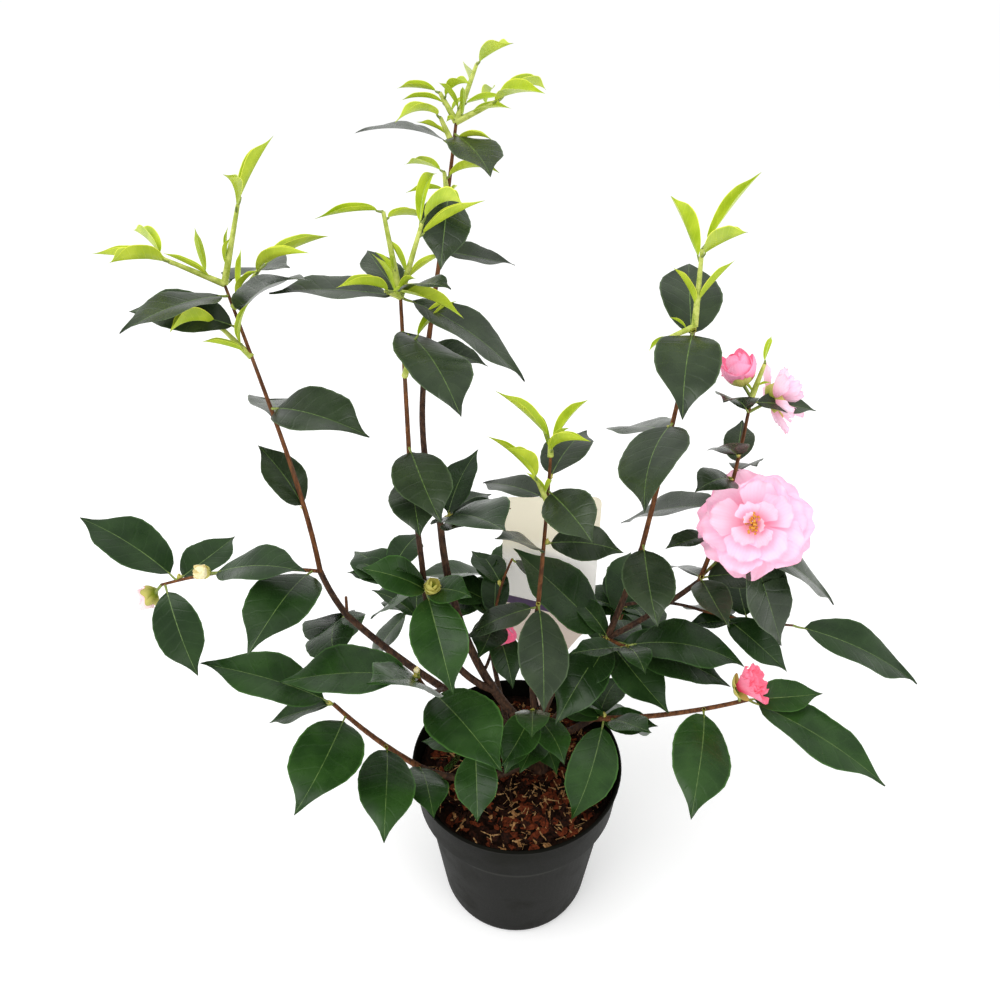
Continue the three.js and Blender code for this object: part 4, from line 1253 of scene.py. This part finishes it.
for name, mass in MASSES.items():
    for n, (at, heading, rise, length, kind, diameter, *facing) in enumerate(mass.get("flowers", [])):
        tint = TINTS[name][n]
        start = along(stems[name]["path"], at)
        foot = start + direction(heading, rise) * length
        aim = direction(*facing)
        stalks.append(([start, (start + foot) / 2, foot, foot + aim * 2], FLOWER_STALK))
        roll = dice(31 + n + len(name))
        radius = diameter / 2
        if kind == "bloom":
            petals[tint] += whorls(foot, aim, radius, BLOOM, roll, 0.3, 30)
        elif kind == "opening":
            rings, cup, arc = (SIDE_ON, 0.4, 42) if tint == "bloom" else (OPENING, 0.5, 14)
            petals[tint] += whorls(foot, aim, radius, rings, roll, cup, arc)
            petals["sepal"] += whorls(foot - aim * 3, aim, radius * 0.8, SEPALS, roll, 0.6, 60)
        else:
            tall = diameter * BUD_HEIGHT[tint]
            petals[tint] += whorls(foot, aim, tall, CLOSED, roll, 0.8, 92)
            petals["sepal"] += whorls(foot - aim, aim, tall * 0.62, CALYX, roll, 0.7, 80)
        if kind == "bloom":
            for _ in range(STAMENS):
                swing, open_by, long = next(roll), next(roll), next(roll)
                out = aim + 0.75 * open_by * unit(np.cross(aim, direction(360 * swing, 20 * long)))
                tip = foot + unit(out) * radius * (0.2 + 0.14 * long)
                filaments.append(([foot, (foot + tip) / 2 + out * 0.6, tip], FILAMENT))
                anthers.append(tip)

for n in range(0, len(mature), SIDE_BUD_EVERY):
    aim = unit(mature[n]["forward"] + direction(0, 90))
    foot = mature[n]["node"]
    petals["sepal"] += whorls(foot, aim, SIDE_BUD_SIZE, SIDE_BUD, dice(n + 1), 0.7, 40)

for tint, rows in petals.items():
    piece = harvest(tint + "_petals", blade_places(tint, rows), the_petal,
                    Petal=petal_finishes[tint], **SHAPES[tint])
    keep(piece, "blossom")
keep(tubes("flower_stalks", stalks, stalk_finish), "foliage")

# %% Stamens
def dot_tree():
    """A small ball at each place."""
    net, given = new_tree("dots", Size=0.0006, Paint=None)
    dot = net.add("GeometryNodeMeshIcoSphere", Radius=given["Size"], Subdivisions=2)
    copies = net.add("GeometryNodeInstanceOnPoints", Points=given["Geometry"], Instance=dot)
    return close_tree(net, copies, given["Paint"])


gold = plain_finish("pollen", colour(214, 138, 30), colour(246, 196, 84), 900, 0.8, 0.0002)
cream = plain_finish("filament", colour(240, 214, 150), colour(252, 240, 206), 300, 0.5, 0.0001)
keep(tubes("filaments", filaments, cream, sides=5, relief=0.0), "blossom")
keep(harvest("anthers", places("anthers", anthers), dot_tree(), Size=0.0010, Paint=gold), "blossom")

# %% [markdown]
# ## The pot
#
# A nursery pot is one thin moulding: a tapered body, a deeper collar, and a rim that is rolled over to
# stiffen it. Its outline is turned about the upright axis, as the mould was.

# %% Pot
def turned(name, profile, sides=96):
    """A closed outline of [radius, height] turned about +Z, in millimetres."""
    corners, faces = [], []
    for i in range(sides):
        turn = 2 * math.pi * i / sides
        corners += [(MM * r * math.cos(turn), MM * r * math.sin(turn), MM * h) for r, h in profile]
    n = len(profile)
    for i in range(sides):
        here, after = i * n, (i + 1) % sides * n
        for j in range(n - 1):
            faces.append((here + j, after + j, after + j + 1, here + j + 1))
    mesh = bpy.data.meshes.new(name)
    mesh.from_pydata(corners, [], faces)
    work = bmesh.new()
    work.from_mesh(mesh)
    bmesh.ops.remove_doubles(work, verts=work.verts, dist=1e-6)
    bmesh.ops.recalc_face_normals(work, faces=work.faces)
    work.to_mesh(mesh)
    work.free()
    mesh.shade_smooth()
    mesh.set_sharp_from_angle(angle=math.radians(38))
    piece = bpy.data.objects.new(name, mesh)
    bpy.context.scene.collection.objects.link(piece)
    return piece


# The outline runs out under the foot, up the tapered body, round the collar's step and the rolled rim,
# and down inside, one wall's thickness in.
POT_WALL = 1.8
POT_FLOOR = 2.5
BODY_FOOT = (71, 9)
BODY_TOP = (84.5, 130)
COLLAR_FOOT = 133
pot_profile = [
    (0, 0.8), (58, 0.8), (60, 0), (64, 0), (66.5, 1.2), (69.5, 4), BODY_FOOT,
    BODY_TOP, (85.6, 131.4), (90.2, 131.8), (COLLAR_RADIUS, COLLAR_FOOT), (93.6, 166.5),
    (94.2, 168.4), (RIM_RADIUS, 169.4), (95.1, 170.6), (94.5, 171.6), (93.6, RIM_HEIGHT),
    (92.6, 171.6), (92.2, 170.6), (92.0, 168), (COLLAR_RADIUS - POT_WALL, COLLAR_FOOT),
    (BODY_TOP[0] - POT_WALL, BODY_TOP[1] + 0.5), (BODY_FOOT[0] - POT_WALL, BODY_FOOT[1]),
    (64 - POT_WALL, POT_FLOOR), (0, POT_FLOOR),
]


def pot_finish():
    """Charcoal moulded plastic: a fine even grain, faint flow marks and dusty scuffs."""
    plastic = Finish("pot_plastic")
    dust = plastic.noise(26, 5).rise(0.5, 0.8)
    scuff = plastic.noise(9, 6, distortion=1.4).rise(0.62, 0.7)
    grain = plastic.noise(1400, 2)
    height = plastic.add("ShaderNodeSeparateXYZ", plastic.place).out("Z")
    band = (height - 0.118).function("ABSOLUTE").rise(0.0, 0.0022)
    tone = plastic.mix(colour(13, 13, 9), colour(25, 25, 19), dust * 0.6)
    tone = plastic.mix(tone, colour(56, 56, 50), scuff * 0.16)
    tone = plastic.mix(colour(42, 42, 38), tone, band)
    return plastic.shade(
        Base_Color=tone,
        Roughness=0.5 + (grain - 0.5) * 0.15 + dust * 0.12,
        Specular_IOR_Level=0.03,
        Normal=plastic.bump(grain, 0.0002, 0.35),
    )


pot = turned("nursery_pot", pot_profile)
pot.data.materials.append(pot_finish())
keep(pot, "pot", "pot")
print("pot", len(pot.data.polygons), "faces")

# %% Soil
# Its top is laid in rings that rise and fall by SOIL_SWELL, then roughened point by point.
SOIL_RADIUS = 89
SOIL_RINGS = 24
SOIL_SWELL = 1.6
SOIL_ROUGHNESS = 3
soil_profile = [(0, 3), (60, 3), (67, 9), (80, 129), (87, 134), (89.4, 153)]
soil_profile += [(SOIL_RADIUS * (1 - i / SOIL_RINGS), SOIL_LEVEL + SOIL_SWELL * math.sin(i * 1.7) - 1)
                 for i in range(SOIL_RINGS + 1)]
soil_bed = turned("soil_bed", soil_profile, 120)
roll = dice(77)
for vertex in soil_bed.data.vertices:
    if vertex.co.z > MM * (SOIL_LEVEL - 3):
        vertex.co.z += MM * SOIL_ROUGHNESS * (next(roll) - 0.6)
soil_finish = plain_finish("soil", colour(14, 7, 4), colour(40, 21, 12), 260, 0.95, 0.0016, 0.1)
soil_bed.data.materials.append(soil_finish)
keep(soil_bed, "soil", "soil")
print("soil", len(soil_bed.data.polygons), "faces")

# %% [markdown]
# ## Bark chips and straw
#
# The soil is hidden under potting bark: flat red-brown chips of every size, and pale fibres. Hundreds of
# small things that lie on a surface are what scattering was made for. The tree drops points on the
# soil, stands a chip on each, and turns and sizes it by seeded random values.

# %% Scatter
LITTER_RADIUS = 0.081


def scatter_tree():
    """Chips on the level top of a bed, ragged, turned and sized at random from a seed."""
    net, given = new_tree("scatter", Density=20000.0, Seed=1, Long=0.006, Wide=0.003, Thick=0.001,
                          Tumble=0.6, Lift=0.001, Paint=None)
    place = net.add("GeometryNodeInputPosition")
    steep = net.add("ShaderNodeSeparateXYZ", net.add("GeometryNodeInputNormal")).out("Z")
    height = net.add("ShaderNodeSeparateXYZ", place).out("Z")
    out = net.add("ShaderNodeVectorMath", place * (1.0, 1.0, 0.0), operation="LENGTH")
    inside = 1 - out.rise(LITTER_RADIUS, LITTER_RADIUS + MM)
    on_top = height.rise(MM * (SOIL_LEVEL - 8), MM * (SOIL_LEVEL - 7)) * inside
    level = net.add("FunctionNodeCompare", steep * on_top, 0.5, operation="GREATER_THAN")
    points = net.add("GeometryNodeDistributePointsOnFaces", Mesh=given["Geometry"], Selection=level,
                     Density=given["Density"], Seed=given["Seed"])
    size = net.add("ShaderNodeCombineXYZ", given["Long"], given["Wide"], given["Thick"])
    chip = net.add("GeometryNodeMeshCube", Size=size, Vertices_X=3, Vertices_Y=3, Vertices_Z=2)
    ragged = net.add("ShaderNodeTexNoise", Vector=place, Scale=700.0, Detail=1.0).out("Color")
    chip = net.add("GeometryNodeSetPosition", Geometry=chip, Offset=(ragged - (0.5, 0.5, 0.5)) * 0.004)
    turn = net.add("ShaderNodeCombineXYZ", given["Tumble"], given["Tumble"], 3.1416)
    spin = net.add("FunctionNodeRandomValue", data_type="FLOAT_VECTOR", Min=turn * -1.0, Max=turn,
                   Seed=given["Seed"])
    scale = net.add("FunctionNodeRandomValue", data_type="FLOAT_VECTOR", Min=(0.45, 0.5, 0.6),
                    Max=(1.5, 1.4, 1.4), Seed=given["Seed"])
    raised = net.add("ShaderNodeCombineXYZ", 0.0, 0.0, given["Lift"])
    points = net.add("GeometryNodeSetPosition", Geometry=points, Offset=raised)
    chips = net.add("GeometryNodeInstanceOnPoints", Points=points, Instance=chip, Rotation=spin,
                    Scale=scale)
    return close_tree(net, chips, given["Paint"], smooth=False)


the_scatter = scatter_tree()
# Each kind: how many on a square metre, length, width, thickness, tumble, and two tones.
LITTER = {
    "dark_chips": (17000.0, 0.0075, 0.0042, 0.0011, 0.5, colour(18, 8, 4), colour(54, 25, 13)),
    "red_chips": (10000.0, 0.0092, 0.005, 0.0012, 0.45, colour(62, 23, 9), colour(120, 54, 27)),
    "tan_chips": (3600.0, 0.006, 0.0022, 0.001, 0.5, colour(130, 86, 48), colour(196, 148, 96)),
    "straw_fibres": (15000.0, 0.011, 0.0006, 0.0005, 0.3, colour(132, 90, 54), colour(214, 172, 118)),
}
for seed, (name, row) in enumerate(LITTER.items()):
    density, long, wide, thick, tumble, deep, pale = row
    paint = plain_finish(name, deep, pale, 500, 0.85, 0.0004, 0.15)
    litter = harvest(name, soil_bed.data.copy(), the_scatter, Density=density, Seed=seed + 3, Long=long,
                     Wide=wide, Thick=thick, Tumble=tumble, Lift=0.0012, Paint=paint)
    keep(litter, "soil")

# %% [markdown]
# ## The care label
#
# A printed card on a pointed stake stands behind the trunk. Its lettering is left off: the card keeps
# its cream face, its slanted muted band and a warm patch. The solid already has the right thin shape,
# so it stays and only gets a finish that reads its own coordinates.

# %% Label
def label_finish():
    """Cream card above, a slanted muted band, a warm patch below it, and a faint glow of painted light."""
    card = Finish("care_card")
    spot = card.add("ShaderNodeSeparateXYZ", card.place)
    slant = spot.out("Z") + spot.out("X") * 0.3
    band = slant.rise(0.284, 0.2845) * (1 - slant.rise(0.293, 0.2935))
    lower = 1 - slant.rise(0.284, 0.2845)
    white = colour(252, 250, 244)
    tone = card.mix(white, colour(246, 238, 214), spot.out("Z").rise(0.33, 0.36))
    tone = card.mix(tone, colour(236, 206, 186), lower * 0.6)
    tone = card.mix(tone, colour(84, 68, 96), band)
    # The glow in the card's own tone is painted light that brightens the card where the leaves shade it.
    return card.shade(Base_Color=tone, Roughness=0.35 + card.noise(300, 2) * 0.1,
                      Emission_Color=tone, Emission_Strength=0.2,
                      Normal=card.bump(card.noise(500, 2), 0.0001, 0.3))


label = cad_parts["care_label"]
label.data.materials.clear()
label.data.materials.append(label_finish())

# %% [markdown]
# ## Floor and light
#
# A pale floor that runs to the horizon and a wide soft light from above: leaves show their gloss as
# broad whitish glints, and the pot throws only a faint shadow.

# %% Floor
FLOOR_SIZE = 60
floor_mesh = bpy.data.meshes.new("floor")
floor_corners = [(x * FLOOR_SIZE, y * FLOOR_SIZE, 0) for x, y in ((-1, -1), (1, -1), (1, 1), (-1, 1))]
floor_mesh.from_pydata(floor_corners, [], [(0, 1, 2, 3)])
floor = bpy.data.objects.new("floor", floor_mesh)
bpy.context.scene.collection.objects.link(floor)
floor_finish = Finish("floor")
floor_mesh.materials.append(floor_finish.shade(
    Base_Color=(0.85, 0.85, 0.85, 1), Roughness=0.9, Specular_IOR_Level=0.0,
    Emission_Color=(1, 1, 1, 1), Emission_Strength=0.3))
floor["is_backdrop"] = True
print("floor", 2 * FLOOR_SIZE, "m across")

# %% Light
def soft_light(name, place, aim, size, power):
    """A square area light that points from a place to an aim."""
    lamp = bpy.data.lights.new(name, "AREA")
    lamp.size = size
    lamp.energy = power
    light = bpy.data.objects.new(name, lamp)
    light.location = place
    way = np.array(aim, float) - np.array(place, float)
    light.rotation_euler = Vector(way).to_track_quat("-Z", "Y").to_euler()
    bpy.context.scene.collection.objects.link(light)
    return light


ROOM_STRENGTH = 0.84
soft_light("sky_panel", (-1.2, -0.6, 2.6), (0, 0, 0.35), 2.2, 42)
soft_light("side_panel", (2.0, -1.6, 1.4), (0, 0, 0.3), 1.6, 14)
world = bpy.data.worlds.new("room")
world.use_nodes = True
room = world.node_tree.nodes["Background"]
room.inputs["Color"].default_value = (1, 1, 1, 1)
room.inputs["Strength"].default_value = ROOM_STRENGTH
bpy.context.scene.world = world
bpy.context.scene.view_settings.view_transform = "Standard"

# %% [markdown]
# ## Close the scene
#
# The dressed plant is measured against the solids' own box.

# %% Sizes
visual_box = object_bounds()
for axis, letter in enumerate("xyz"):
    low = 1000 * (cad_box[0][axis] - visual_box[0][axis])
    high = 1000 * (visual_box[1][axis] - cad_box[1][axis])
    print(letter, "outside the solids' box by", round(low, 1), "and", round(high, 1), "mm")
